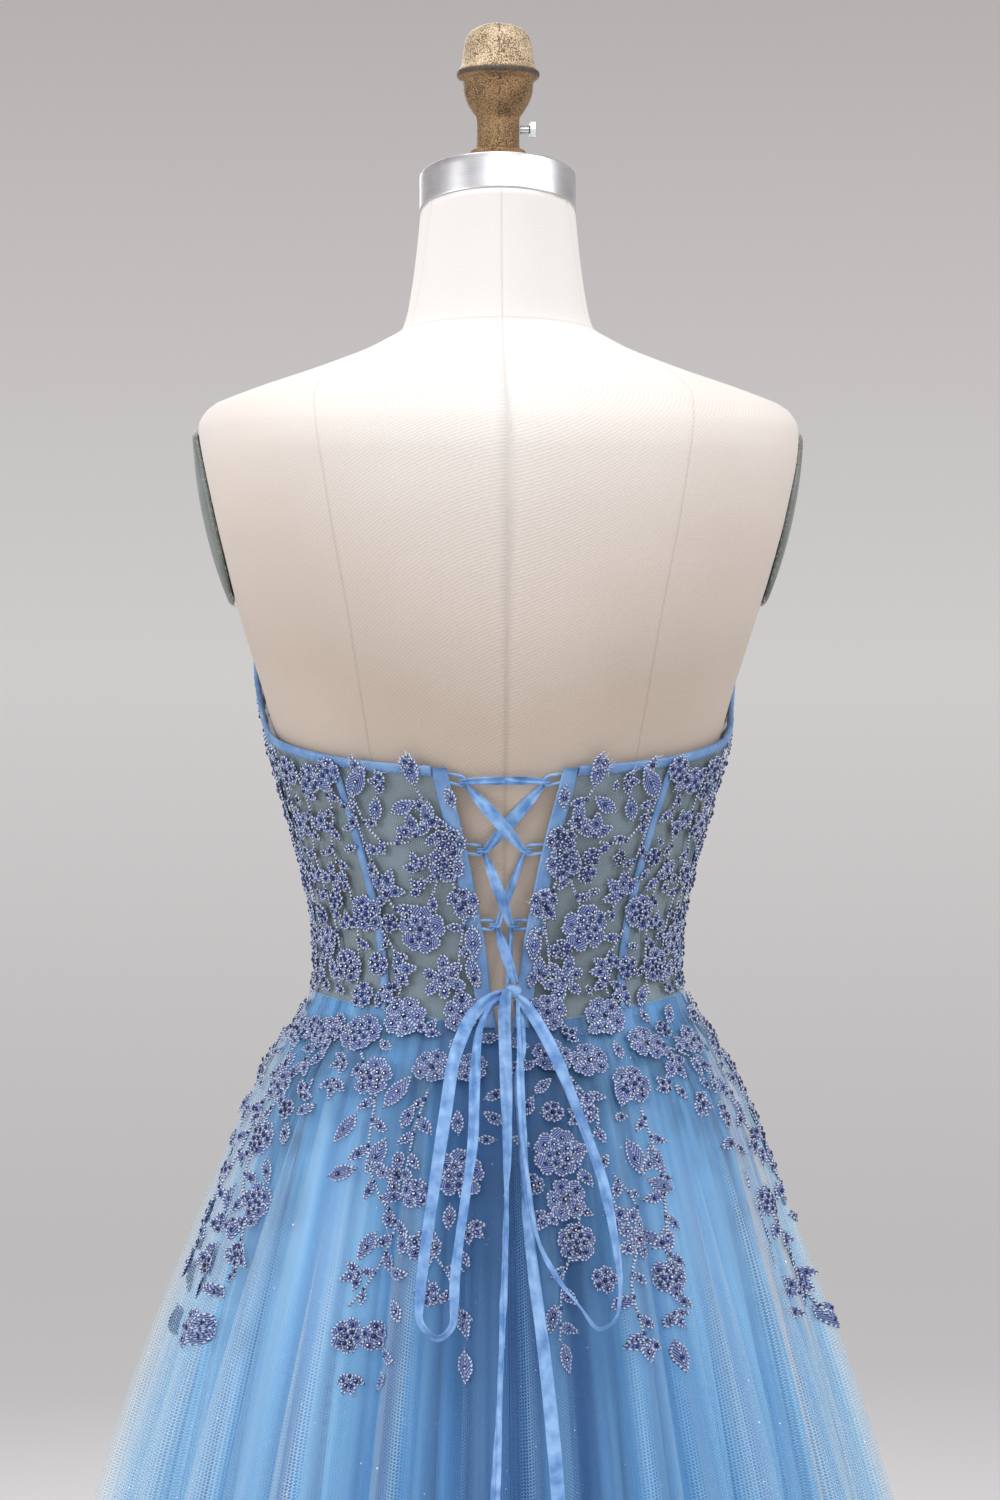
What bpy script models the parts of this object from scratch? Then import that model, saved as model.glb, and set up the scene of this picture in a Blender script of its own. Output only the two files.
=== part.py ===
"""An A-line prom dress with a laced back, worn by a limbless dress form on a plain stand.

Metres, +Z up. The dress faces -Y, its wearer's left is +X, and the origin is on the floor, on the pole's axis.
The form's body is a loft of rounded sections. Every piece of the dress is a thin wall that follows the form
or a flared skirt section at its own distance, so that no two pieces touch.
"""

import math
from collections import namedtuple

import bmesh
import bpy
from mathutils import Matrix, Vector

# Driving dimensions
WAIST = 1.060  # height of the waist above the floor
HEM_CLEARANCE = 0.018  # the outer skirt's hem above the floor
CLOTH = 0.0015  # thickness of a cut panel, measured straight outwards from the body
TRIM = 0.0010  # thickness of a casing, binding, lace or ribbon
SEAM = 0.0003  # gap between pieces that are sewn or rest face to face
EASE = 0.0029  # how far the bodice stands off the form
WAIST_GAP = 0.0007  # between the bodice and the skirt below it
NECK_TILT = math.radians(10)  # the neck's top slopes down towards the front
RIBBON = 0.008  # width of the satin ribbon

# The form's outline: height above the waist, and the section there. Squareness 2 is an ellipse.
Section = namedtuple("Section", "height half_width back front squareness")
FORM = [
    Section(-0.260, 0.1620, 0.1200, 0.1120, 2.2),
    Section(-0.200, 0.1600, 0.1180, 0.1100, 2.2),
    Section(-0.140, 0.1500, 0.1110, 0.1050, 2.2),
    Section(-0.100, 0.1400, 0.1040, 0.1000, 2.2),
    Section(-0.060, 0.1280, 0.0950, 0.0940, 2.2),
    Section(-0.030, 0.1175, 0.0865, 0.0870, 2.2),
    Section(0.000, 0.1090, 0.0810, 0.0820, 2.2),
    Section(0.030, 0.1105, 0.0815, 0.0840, 2.2),
    Section(0.060, 0.1160, 0.0840, 0.0890, 2.25),
    Section(0.100, 0.1265, 0.0900, 0.0980, 2.3),
    Section(0.140, 0.1380, 0.0980, 0.1100, 2.4),
    Section(0.175, 0.1475, 0.1040, 0.1180, 2.5),
    Section(0.205, 0.1570, 0.1090, 0.1160, 2.6),
    Section(0.231, 0.1655, 0.1120, 0.1100, 2.7),
    Section(0.250, 0.1720, 0.1135, 0.1060, 2.8),
    Section(0.285, 0.1835, 0.1145, 0.0990, 2.9),
    Section(0.320, 0.1895, 0.1120, 0.0920, 2.9),
    Section(0.338, 0.1890, 0.1070, 0.0870, 2.8),
    Section(0.3515, 0.1820, 0.0980, 0.0800, 2.6),
    Section(0.3618, 0.1600, 0.0900, 0.0730, 2.4),
    Section(0.3786, 0.1120, 0.0770, 0.0620, 2.2),
    Section(0.392, 0.0780, 0.0670, 0.0560, 2.1),
    Section(0.4043, 0.0595, 0.0600, 0.0520, 2.0),
    Section(0.426, 0.0545, 0.0550, 0.0510, 2.0),
    Section(0.452, 0.0510, 0.0510, 0.0495, 2.0),
    Section(0.477, 0.0485, 0.0485, 0.0480, 2.0),
]
TALLEST_BAND = 0.026  # the loft adds a ring between two sections further apart than this
FORM_SIDES = 44
NECK_BASE, NECK_TOP = 0.360, FORM[-1].height
BUST_HEIGHT, BUST_OUT, BUST_WIDE, BUST_TALL, BUST_DEEP = 0.170, 0.078, 0.056, 0.066, 0.020

# The skirt's layers: drop below the waist, and the section there. fold_depth is half a fold, crest to valley.
Flare = namedtuple("Flare", "drop half_width half_depth fold_depth")
LINING = [
    Flare(0.010, 0.1130, 0.0850, 0.0002),
    Flare(0.045, 0.1290, 0.1010, 0.0005),
    Flare(0.082, 0.1420, 0.1145, 0.0010),
    Flare(0.145, 0.1590, 0.1320, 0.0015),
    Flare(0.246, 0.1840, 0.1560, 0.0030),
    Flare(0.321, 0.1990, 0.1730, 0.0040),
    Flare(0.600, 0.2480, 0.2330, 0.0080),
    Flare(1.042, 0.3340, 0.3240, 0.0120),
]
UNDER_TULLE = [
    Flare(0.010, 0.1150, 0.0870, 0.0003),
    Flare(0.045, 0.1340, 0.1070, 0.0010),
    Flare(0.082, 0.1520, 0.1270, 0.0020),
    Flare(0.145, 0.1730, 0.1510, 0.0030),
    Flare(0.246, 0.2010, 0.1840, 0.0050),
    Flare(0.321, 0.2190, 0.2050, 0.0065),
    Flare(0.600, 0.2800, 0.2720, 0.0110),
    Flare(1.042, 0.3780, 0.3700, 0.0170),
]
OUTER_TULLE = [
    Flare(0.010, 0.1170, 0.0890, 0.0004),
    Flare(0.045, 0.1395, 0.1130, 0.0015),
    Flare(0.082, 0.1610, 0.1370, 0.0030),
    Flare(0.145, 0.1865, 0.1660, 0.0045),
    Flare(0.246, 0.2195, 0.2040, 0.0065),
    Flare(0.321, 0.2420, 0.2290, 0.0080),
    Flare(0.600, 0.3150, 0.3060, 0.0130),
    Flare(1.042, 0.4270, 0.4180, 0.0190),
]
# Each layer: its sections, its folds all round, where they start, its distance off the form at the waist seam,
# how far its hem is above the outer hem, and how many facets it has all round.
Layer = namedtuple("Layer", "sections folds phase stand_off hem_up facets")
LAYERS = {
    "lining": Layer(LINING, 11, 0.4, EASE, 0.012, 44),
    "under_tulle": Layer(UNDER_TULLE, 16, 1.9, EASE + CLOTH + SEAM, 0.006, 64),
    "outer_tulle": Layer(OUTER_TULLE, 21, 0.9, EASE + 2 * (CLOTH + SEAM), 0.0, 84),
}
GATHER = 0.030  # below the waist seam, over which a layer leaves the form for its own flare
SKIRT_DROPS = [0.045, 0.082, 0.145, 0.246, 0.420, 0.700]  # rings between the waist seam and the hem

# The bodice's edges: turn in degrees from the centre back to the centre front, and height above the waist.
Edge = namedtuple("Edge", "turn height")
TOP_EDGE = [
    Edge(0, 0.127), Edge(30, 0.132), Edge(60, 0.141), Edge(80, 0.150), Edge(92, 0.164), Edge(102, 0.188),
    Edge(125, 0.222), Edge(145, 0.222), Edge(165, 0.196), Edge(180, 0.176),
]
WAIST_SEAM = [Edge(0, -0.031), Edge(45, -0.019), Edge(90, -0.014), Edge(135, -0.020), Edge(180, -0.034)]
# Half the width of the laced opening, by height above the waist. Below the waist seam it is the skirt's slit.
Gap = namedtuple("Gap", "height half_width")
OPENING = [
    Gap(-0.075, SEAM / 2), Gap(-0.045, 0.0012), Gap(-0.030, 0.0045), Gap(-0.010, 0.0080), Gap(0.010, 0.0100),
    Gap(0.033, 0.0140), Gap(0.072, 0.0215), Gap(0.127, 0.0350),
]
# Seams of the bodice, from the back princess seam to the front one, as turns at the waist seam and the top edge.
Seam = namedtuple("Seam", "low high")
BODICE_SEAMS = [Seam(37, 45), Seam(88, 91), Seam(150, 138)]
BODICE_ROWS = 10  # bands between the waist seam and the binding
PLACE_STEPS = 6  # columns between one seam and the next
CASING_WIDTH, BINDING_HEIGHT, BINDING_GAP = 0.0067, 0.0055, 0.0024

# The lace: how far each lobe of a skirt lace hangs below its top, by turn from the centre back.
Lobe = namedtuple("Lobe", "turn hang")
LACE_BACK = [Lobe(3, 0.060), Lobe(9, 0.150), Lobe(14, 0.130), Lobe(20, 0.225), Lobe(27, 0.110), Lobe(33, 0.060)]
LACE_SIDE = [Lobe(40, 0.050), Lobe(52, 0.085), Lobe(64, 0.215), Lobe(74, 0.150), Lobe(84, 0.120), Lobe(96, 0.040)]
LACE_FRONT = [Lobe(118, 0.045), Lobe(130, 0.090), Lobe(142, 0.200), Lobe(154, 0.120), Lobe(166, 0.170), Lobe(174, 0.070)]
LACE_LIFT, LACE_DROP = 0.0019, 0.006  # how far it stands off the tulle, and starts below its top

# The lacing's three pairs of button loops: height above the waist, and how far each stands in from its edge.
Loop = namedtuple("Loop", "height reach")
LOOPS = [Loop(0.1205, 0.0095), Loop(0.0785, 0.0100), Loop(0.0325, 0.0085)]
LOOP_LEG, LOOP_WIRE = 0.0036, 0.0010  # half its height, and its radius
LACING_OFF = 0.0042  # the loops' middle stands this far off the form
KNOT = Vector((-0.0043, 0, -0.0094))  # centre of the bow's knot: across, and above the waist
KNOT_OFF = 0.0120  # it stands this far off the form
KNOT_HALF = Vector((0.0066, 0.0042, 0.0050))

Finish = namedtuple("Finish", "colour roughness metallic")
FINISHES = {
    "linen": Finish((0.80, 0.74, 0.68), 0.9, 0.0),
    "steel": Finish((0.55, 0.56, 0.58), 0.35, 1.0),
    "aged_gold": Finish((0.42, 0.29, 0.15), 0.45, 0.8),
    "zinc": Finish((0.70, 0.72, 0.72), 0.3, 1.0),
    "plate": Finish((0.22, 0.25, 0.24), 0.6, 0.0),
    "iron": Finish((0.10, 0.10, 0.11), 0.5, 0.5),
    "mesh": Finish((0.35, 0.52, 0.62), 0.8, 0.0),
    "satin": Finish((0.25, 0.45, 0.80), 0.35, 0.0),
    "lace": Finish((0.25, 0.30, 0.55), 0.6, 0.0),
    "tulle": Finish((0.32, 0.55, 0.85), 0.7, 0.0),
    "lining": Finish((0.15, 0.38, 0.75), 0.5, 0.0),
}


def curve_through(places, values):
    """A smooth function through the values at these places that never overshoots them."""
    slopes = [(b - a) / (q - p) for a, b, p, q in zip(values, values[1:], places, places[1:])]
    inner = [0 if a * b <= 0 else 2 * a * b / (a + b) for a, b in zip(slopes, slopes[1:])]
    tangents = [slopes[0], *inner, slopes[-1]]

    def value(place):
        place = min(max(place, places[0]), places[-1])
        i = max(k for k in range(len(places) - 1) if places[k] <= place or k == 0)
        span = places[i + 1] - places[i]
        u = (place - places[i]) / span
        rise = values[i] * (1 + 2 * u) * (1 - u) ** 2 + values[i + 1] * u * u * (3 - 2 * u)
        return rise + span * (tangents[i] * u * (1 - u) ** 2 - tangents[i + 1] * u * u * (1 - u))

    return value


def columns_of(rows):
    """Each later column of a table as a smooth function of its first column."""
    places = [row[0] for row in rows]
    return [curve_through(places, [row[k] for row in rows]) for k in range(1, len(rows[0]))]


FORM_AT = columns_of(FORM)
LAYER_AT = {name: columns_of(layer.sections) for name, layer in LAYERS.items()}
TOP_AT, WAIST_SEAM_AT, OPENING_AT = (columns_of(rows)[0] for rows in (TOP_EDGE, WAIST_SEAM, OPENING))


def from_back(turn):
    """A turn round the body as 0 at the centre back to 180 at the centre front, on either side."""
    turn = turn % 360
    return min(turn, 360 - turn)


def smooth_step(value):
    value = min(max(value, 0.0), 1.0)
    return value * value * (3 - 2 * value)


def ring_point(turn, half_width, back, front, squareness):
    """A point of a rounded section. turn runs in degrees from the centre back round by the left side."""
    across, along = math.sin(math.radians(turn)), math.cos(math.radians(turn))
    power = 2 / squareness
    x = half_width * math.copysign(abs(across) ** power, across)
    y = (back if along > 0 else front) * math.copysign(abs(along) ** power, along)
    return x, y


def figure(turn, height):
    """A point of the form's surface. height is above the waist."""
    x, y = ring_point(turn, *(column(height) for column in FORM_AT))
    if y < 0:
        tall = (height - BUST_HEIGHT) / BUST_TALL
        for side in (-1, 1):
            wide = (x - side * BUST_OUT) / BUST_WIDE
            y -= BUST_DEEP * math.exp(-wide * wide - tall * tall) * smooth_step(-y / 0.06)
    lean = math.tan(NECK_TILT) * smooth_step((height - NECK_BASE) / (NECK_TOP - NECK_BASE))
    return Vector((x, y, WAIST + height + y * lean))


def figure_off(turn, height, distance):
    """A point this far outside the form's surface, along its normal."""
    step_turn, step_height = 0.5, 0.002
    round_it = figure(turn + step_turn, height) - figure(turn - step_turn, height)
    up = figure(turn, height + step_height) - figure(turn, height - step_height)
    return figure(turn, height) + up.cross(round_it).normalized() * distance


def skirt_point(name, turn, height, distance=0.0):
    """A point of a skirt layer's inner face, or this far outside it. It hangs from the form at the waist seam."""
    layer, drop = LAYERS[name], -height
    half_width, half_depth, fold_depth = (column(drop) for column in LAYER_AT[name])
    angle = math.radians(turn)
    sway = 1.1 * math.sin(2 * angle + layer.phase) + 0.7 * math.sin(3 * angle + 2 * layer.phase)
    fold = fold_depth * math.cos(layer.folds * angle + sway)
    x, y = ring_point(turn, half_width + fold, half_depth + fold, half_depth + fold, 2.1)
    outward = Vector((x, y, 0)).normalized() * distance
    flared = Vector((x, y, WAIST + height)) + outward
    below_seam = WAIST_SEAM_AT(from_back(turn)) - height
    hung = figure_off(turn, height, layer.stand_off + distance)
    return hung.lerp(flared, smooth_step(below_seam / GATHER))


def turn_at(distance_across, height, point):
    """The turn, near the centre back, at which point(turn, height) lies this far across."""
    low, high = 0.0, 60.0
    for _ in range(30):
        middle = (low + high) / 2
        low, high = (middle, high) if abs(point(middle, height).x) < distance_across else (low, middle)
    return low


def material(name):
    made = bpy.data.materials.get(name)
    if made is None:
        made = bpy.data.materials.new(name)
        made.use_nodes = True
        shader = made.node_tree.nodes["Principled BSDF"]
        shader.inputs["Base Color"].default_value = (*FINISHES[name].colour, 1)
        shader.inputs["Roughness"].default_value = FINISHES[name].roughness
        shader.inputs["Metallic"].default_value = FINISHES[name].metallic
    return made


def add_object(name, mesh, finish, smooth=True):
    mesh.materials.append(material(finish))
    if smooth:
        mesh.shade_smooth()
        mesh.set_sharp_from_angle(angle=math.radians(40))
    obj = bpy.data.objects.new(name, mesh)
    bpy.context.scene.collection.objects.link(obj)
    return obj


def add_bmesh(name, made, finish):
    mesh = bpy.data.meshes.new(name)
    bmesh.ops.remove_doubles(made, verts=made.verts, dist=1e-6)
    bmesh.ops.recalc_face_normals(made, faces=made.faces)
    made.to_mesh(mesh)
    made.free()
    return add_object(name, mesh, finish)


def add_panel(name, inner, outer, finish):
    """A cloth wall between two grids of points. Rows run from low to high, and each row from the wearer's left."""
    tall, wide = len(inner), len(inner[0])
    count = tall * wide
    faces = []
    for row in range(tall - 1):
        for column in range(wide - 1):
            low, high = row * wide + column, (row + 1) * wide + column
            faces.append((low, high, high + 1, low + 1))
            faces.append(tuple(count + corner for corner in (low, low + 1, high + 1, high)))
    last = (tall - 1) * wide
    for column in range(wide - 1):
        faces.append((column, column + 1, count + column + 1, count + column))
        faces.append((last + column, count + last + column, count + last + column + 1, last + column + 1))
    for row in range(tall - 1):
        low, high = row * wide, (row + 1) * wide
        faces.append((low, count + low, count + high, high))
        low, high = low + wide - 1, high + wide - 1
        faces.append((low, high, count + high, count + low))
    made = bmesh.new()
    points = [made.verts.new(point) for grid in (inner, outer) for row in grid for point in row]
    for corners in faces:
        made.faces.new([points[corner] for corner in corners])
    return add_bmesh(name, made, finish)


def spaced(start, end, count):
    return [start + (end - start) * k / count for k in range(count + 1)]


def sides():
    """The two mirrored sides: the name's ending, and the sign of a turn there."""
    return (("left", 1), ("right", -1))


# ---- The form ----

def form_heights():
    """The heights of the loft's rings: the sections', with one between any two that lie far apart."""
    heights = [FORM[0].height]
    for low, high in zip(FORM, FORM[1:]):
        count = max(1, math.ceil((high.height - low.height) / TALLEST_BAND))
        heights += spaced(low.height, high.height, count)[1:]
    return heights


ARM_CUT_LOW, ARM_CUT_HIGH = Vector((0.1655, 0, 0.231)), Vector((0.1887, 0, 0.338))
ARM_PLATE_HALF_HEIGHT, ARM_PLATE_HALF_WIDTH, ARM_PLATE_EDGE, ARM_PLATE_DOME = 0.056, 0.044, 0.0030, 0.0085


def arm_frame(side):
    """The plane in which the arm is cut off: X up the cut, Y along the body, Z outwards."""
    low, high = (Vector((side * p.x, p.y, WAIST + p.z)) for p in (ARM_CUT_LOW, ARM_CUT_HIGH))
    up = (high - low).normalized()
    forward = Vector((0, -side, 0))
    outward = up.cross(forward).normalized()
    return Matrix.Translation((low + high) / 2) @ Matrix((up, forward, outward)).transposed().to_4x4()


def add_form_body():
    """The padded, linen-covered body, whole from hip to neck, with a flat cut where each arm would be."""
    made = bmesh.new()
    rings = []
    for height in form_heights():
        turns = (360 * k / FORM_SIDES for k in range(FORM_SIDES))
        rings.append([made.verts.new(figure(turn, height)) for turn in turns])
    for low, high in zip(rings, rings[1:]):
        for k in range(FORM_SIDES):
            after = (k + 1) % FORM_SIDES
            made.faces.new((low[k], high[k], high[after], low[after]))
    made.faces.new(rings[0])
    made.faces.new(rings[-1][::-1])
    body = add_bmesh("form_body", made, "linen")
    for name, side in sides():
        cutter_mesh = bpy.data.meshes.new("arm_cutter_" + name)
        made = bmesh.new()
        bmesh.ops.create_cube(made, size=1)
        size = Vector((0.18, 0.16, 0.05))
        place = arm_frame(side) @ Matrix.Translation((0, 0, size.z / 2)) @ Matrix.Diagonal((*size, 1))
        bmesh.ops.transform(made, matrix=place, verts=made.verts)
        made.to_mesh(cutter_mesh)
        made.free()
        cutter = bpy.data.objects.new("arm_cutter_" + name, cutter_mesh)
        bpy.context.scene.collection.objects.link(cutter)
        cutter.hide_render = True
        cutter.display_type = "WIRE"
        cut = body.modifiers.new("arm_cut_" + name, "BOOLEAN")
        cut.object = cutter
        cut.operation = "DIFFERENCE"
    return body


def turned(made, profile, sides_round):
    """Spins a profile of (radius, height) points, from one end on the axis to the other, round Z."""
    verts = [made.verts.new((radius, 0, height)) for radius, height in profile]
    edges = [made.edges.new(pair) for pair in zip(verts, verts[1:])]
    bmesh.ops.spin(
        made, geom=verts + edges, cent=(0, 0, 0), axis=(0, 0, 1), angle=2 * math.pi, steps=sides_round,
        use_merge=True,
    )
    bmesh.ops.remove_doubles(made, verts=made.verts, dist=1e-6)


def add_turned(name, profile, finish, sides_round=32, place=None):
    made = bmesh.new()
    turned(made, profile, sides_round)
    bmesh.ops.transform(made, matrix=place or Matrix.Identity(4), verts=made.verts)
    return add_bmesh(name, made, finish)


def add_arm_plates():
    """Oval domed plates that close the arm cuts."""
    profile = [
        (0, 0), (0.94, 0), (1, 0.25 * ARM_PLATE_EDGE), (1, 0.8 * ARM_PLATE_EDGE), (0.93, 1.25 * ARM_PLATE_EDGE),
        (0.7, 0.72 * ARM_PLATE_DOME), (0.4, 0.93 * ARM_PLATE_DOME), (0, ARM_PLATE_DOME),
    ]
    for name, side in sides():
        oval = Matrix.Diagonal((ARM_PLATE_HALF_HEIGHT, ARM_PLATE_HALF_WIDTH, 1, 1))
        place = arm_frame(side) @ Matrix.Translation((0, 0, SEAM)) @ oval
        add_turned("arm_plate_" + name, profile, "plate", 36, place)


BAND_RADIUS, BAND_HEIGHT, BAND_ROUND = 0.0493, 0.0235, 0.0012
FINIAL_BASE = WAIST + 0.5035  # where the finial's underside crosses the pole's axis, before it is cut to the band
# The finial: radius, and height above its base.
FINIAL = [
    (0, -0.006), (0.0175, -0.006), (0.0175, 0.0140), (0.0158, 0.0160), (0.0134, 0.0170), (0.0134, 0.0325),
    (0.0160, 0.0370), (0.0192, 0.0430), (0.0215, 0.0500), (0.0226, 0.0565), (0.0250, 0.0578), (0.0258, 0.0605),
    (0.0250, 0.0632), (0.0228, 0.0650), (0.0222, 0.0700), (0.0213, 0.0760), (0.0190, 0.0830), (0.0150, 0.0885),
    (0.0080, 0.0920), (0, 0.0928),
]
SCREW_HEIGHT, SCREW_RADIUS, SCREW_HEAD, SCREW_REACH, SCREW_HEAD_THICK = 0.0260, 0.0030, 0.0052, 0.0062, 0.0040


def neck_frame():
    """The neck's top plane: origin on the pole's axis, Z along the neck."""
    return Matrix.Translation((0, 0, WAIST + NECK_TOP)) @ Matrix.Rotation(NECK_TILT, 4, "X")


def add_neck_fittings():
    """A spun steel band caps the neck. A cast finial stands on it, clamped to the pole by a hexagon screw."""
    low, high = SEAM, SEAM + BAND_HEIGHT
    band = [
        (0, low), (BAND_RADIUS, low), (BAND_RADIUS, high - BAND_ROUND), (BAND_RADIUS - BAND_ROUND, high), (0, high),
    ]
    add_turned("neck_band", band, "steel", 48, neck_frame())
    finial = add_turned("finial", FINIAL, "aged_gold", 28, Matrix.Translation((0, 0, FINIAL_BASE)))
    made = bmesh.new()
    bmesh.ops.create_cube(made, size=0.2)
    below_the_band = Matrix.Translation((0, 0, high + SEAM - 0.1))
    bmesh.ops.transform(made, matrix=neck_frame() @ below_the_band, verts=made.verts)
    cutter_mesh = bpy.data.meshes.new("finial_cutter")
    made.to_mesh(cutter_mesh)
    made.free()
    cutter = bpy.data.objects.new("finial_cutter", cutter_mesh)
    bpy.context.scene.collection.objects.link(cutter)
    cutter.hide_render = True
    cutter.display_type = "WIRE"
    cut = finial.modifiers.new("sits_on_band", "BOOLEAN")
    cut.object = cutter
    cut.operation = "DIFFERENCE"
    made = bmesh.new()
    screw = [
        (0, 0), (SCREW_RADIUS, 0), (SCREW_RADIUS, SCREW_REACH), (SCREW_HEAD, SCREW_REACH),
        (SCREW_HEAD, SCREW_REACH + 0.8 * SCREW_HEAD_THICK), (0.8 * SCREW_HEAD, SCREW_REACH + SCREW_HEAD_THICK),
        (0, SCREW_REACH + SCREW_HEAD_THICK),
    ]
    turned(made, screw, 6)
    stem = 0.0134 + SEAM
    place = Matrix.Translation((-stem, 0, FINIAL_BASE + SCREW_HEIGHT)) @ Matrix.Rotation(-math.pi / 2, 4, "Y")
    bmesh.ops.transform(made, matrix=place, verts=made.verts)
    add_bmesh("finial_screw", made, "zinc")


BASE_RADIUS, BASE_HEIGHT, BASE_CHAMFER = 0.190, 0.014, 0.004
SOCKET_RADIUS, SOCKET_HEIGHT = 0.028, 0.060
POLE_RADIUS = 0.0125
FLANGE_RADIUS, FLANGE_HEIGHT = 0.045, 0.012


def add_stand():
    """A round iron base, a socket, a steel pole, and the flange under the form that the pole carries."""
    base = [(0, 0), (BASE_RADIUS, 0), (BASE_RADIUS, BASE_HEIGHT - BASE_CHAMFER),
            (BASE_RADIUS - 3 * BASE_CHAMFER, BASE_HEIGHT), (0, BASE_HEIGHT)]
    add_turned("stand_base", base, "iron", 40)
    low = BASE_HEIGHT + SEAM
    high = low + SOCKET_HEIGHT
    bore = POLE_RADIUS + SEAM
    socket = [(bore, low), (SOCKET_RADIUS, low), (0.62 * SOCKET_RADIUS, high), (bore, high), (bore, low)]
    add_turned("stand_socket", socket, "iron", 32)
    form_bottom = WAIST + FORM[0].height
    flange_low = form_bottom - SEAM - FLANGE_HEIGHT
    pole = [(0, low), (POLE_RADIUS, low), (POLE_RADIUS, flange_low - SEAM), (0, flange_low - SEAM)]
    add_turned("stand_pole", pole, "steel", 24)
    flange = [(0, flange_low), (0.5 * FLANGE_RADIUS, flange_low), (FLANGE_RADIUS, flange_low + 0.6 * FLANGE_HEIGHT),
              (FLANGE_RADIUS, flange_low + FLANGE_HEIGHT), (0, flange_low + FLANGE_HEIGHT)]
    add_turned("form_flange", flange, "iron", 32)


# ---- The bodice ----
# Every piece of it is made on one grid: rows by share of the height, and columns by place round the body.
# Place 0 is the laced opening's edge, 1 the back princess seam, 2 the side seam, 3 the front princess seam, and 4
# the centre front. Seams and columns therefore line up from the net to the lace.

def row_heights(turn):
    """The heights of the grid's rows at this turn, the last but one being the binding's lower edge."""
    low, high = WAIST_SEAM_AT(turn), TOP_AT(turn)
    below = high - BINDING_HEIGHT - BINDING_GAP
    return [low + (below - low) * share for share in spaced(0, 1, BODICE_ROWS)] + [high]


def place_turn(place, row):
    """The turn of a place on the grid, in this row."""
    share_up = row / (BODICE_ROWS + 1)
    opening = opening_turn(row_heights(0)[row])
    seams = [opening] + [seam.low + (seam.high - seam.low) * share_up for seam in BODICE_SEAMS] + [180.0]
    whole = min(int(place), len(seams) - 2)
    return seams[whole] + (seams[whole + 1] - seams[whole]) * (place - whole)


def opening_turn(height, extra=0.0):
    """The turn of the laced opening's edge, or of a line this much further from the centre."""
    return turn_at(OPENING_AT(height) + extra, height, lambda turn, h: figure_off(turn, h, EASE))


def bodice_point(side, turn, row, off, raised=0.0):
    return figure_off(side * turn, row_heights(turn)[row] + raised, off)


def add_bodice_piece(name, side, columns, rows, off, finish, thickness):
    """A piece of the grid on one side. columns are functions from a row to a turn, from back to front."""
    inner, outer = (
        [[bodice_point(side, column(row), row, distance) for column in columns[::side]] for row in rows]
        for distance in (off, off + thickness)
    )
    return add_panel(name, inner, outer, finish)


def add_front_piece(name, columns, rows, off, finish, thickness, raised):
    """A piece of the grid that runs from its first column on the left round the front to the same on the right.
    raised lifts its lowest row."""
    grids = []
    for distance in (off, off + thickness):
        grid = []
        for row in rows:
            lift = raised if row == rows[0] else 0
            left = [bodice_point(1, column(row), row, distance, lift) for column in columns]
            right = [bodice_point(-1, column(row), row, distance, lift) for column in columns[::-1]]
            grid.append([*left, bodice_point(1, 180, row, distance, lift), *right])
        grids.append(grid)
    return add_panel(name, *grids, finish)


def shifted(place, across):
    """A column this far, measured round the form, in front of a place."""
    def turn(row):
        middle = place_turn(place, row)
        reach = figure(middle, row_heights(middle)[row]).xy.length
        return middle + math.degrees(across / reach)
    return turn


def columns_between(start, end, trim=SEAM / 2):
    """The grid's columns from one place to another, with half a seam's gap taken off at each end."""
    first, last = math.floor(start * PLACE_STEPS) + 1, math.ceil(end * PLACE_STEPS) - 1
    inner = [shifted(step / PLACE_STEPS, 0) for step in range(first, last + 1)]
    return [shifted(start, trim), *inner, shifted(end, -trim)]


ALL_ROWS = range(BODICE_ROWS + 2)
BELOW_BINDING = range(BODICE_ROWS + 1)


def add_bodice():
    """Sheer net panels, cut apart at princess and side seams, with a sweetheart top edge and an open back."""
    for ending, side in sides():
        for name, start in (("back", 0), ("side_back", 1), ("side_front", 2)):
            columns = columns_between(start, start + 1)
            add_bodice_piece(f"bodice_{name}_{ending}", side, columns, ALL_ROWS, EASE, "mesh", CLOTH)
    add_front_piece("bodice_front", columns_between(3, 4)[:-1], ALL_ROWS, EASE, "mesh", CLOTH, 0)


CASING_OFF = EASE + CLOTH + SEAM


def add_casings():
    """Satin channels that hold the bones: one down each opening edge, and one over each seam."""
    for ending, side in sides():
        columns = [shifted(0, 0), shifted(0, CASING_WIDTH)]
        add_bodice_piece(f"casing_back_edge_{ending}", side, columns, ALL_ROWS, CASING_OFF, "satin", TRIM)
        for place, name in ((1, "back"), (2, "side"), (3, "front")):
            columns = [shifted(place, -CASING_WIDTH / 2), shifted(place, 0), shifted(place, CASING_WIDTH / 2)]
            add_bodice_piece(f"casing_{name}_{ending}", side, columns, BELOW_BINDING, CASING_OFF, "satin", TRIM)


def add_binding():
    """The bias binding along the top edge, from one opening casing round the front to the other."""
    steps = [step / PLACE_STEPS for step in range(1, 4 * PLACE_STEPS)]
    columns = [shifted(0, CASING_WIDTH + SEAM)] + [shifted(place, 0) for place in steps]
    add_front_piece("binding_top", columns, ALL_ROWS[-2:], CASING_OFF, "satin", TRIM, BINDING_GAP)


# ---- The skirt ----

def skirt_heights(name, turn):
    """The heights of a layer's rings at this turn, from the waist seam down."""
    top = WAIST_SEAM_AT(from_back(turn)) - WAIST_GAP
    return [top] + [-drop for drop in SKIRT_DROPS] + [HEM_CLEARANCE + LAYERS[name].hem_up - WAIST]


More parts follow.
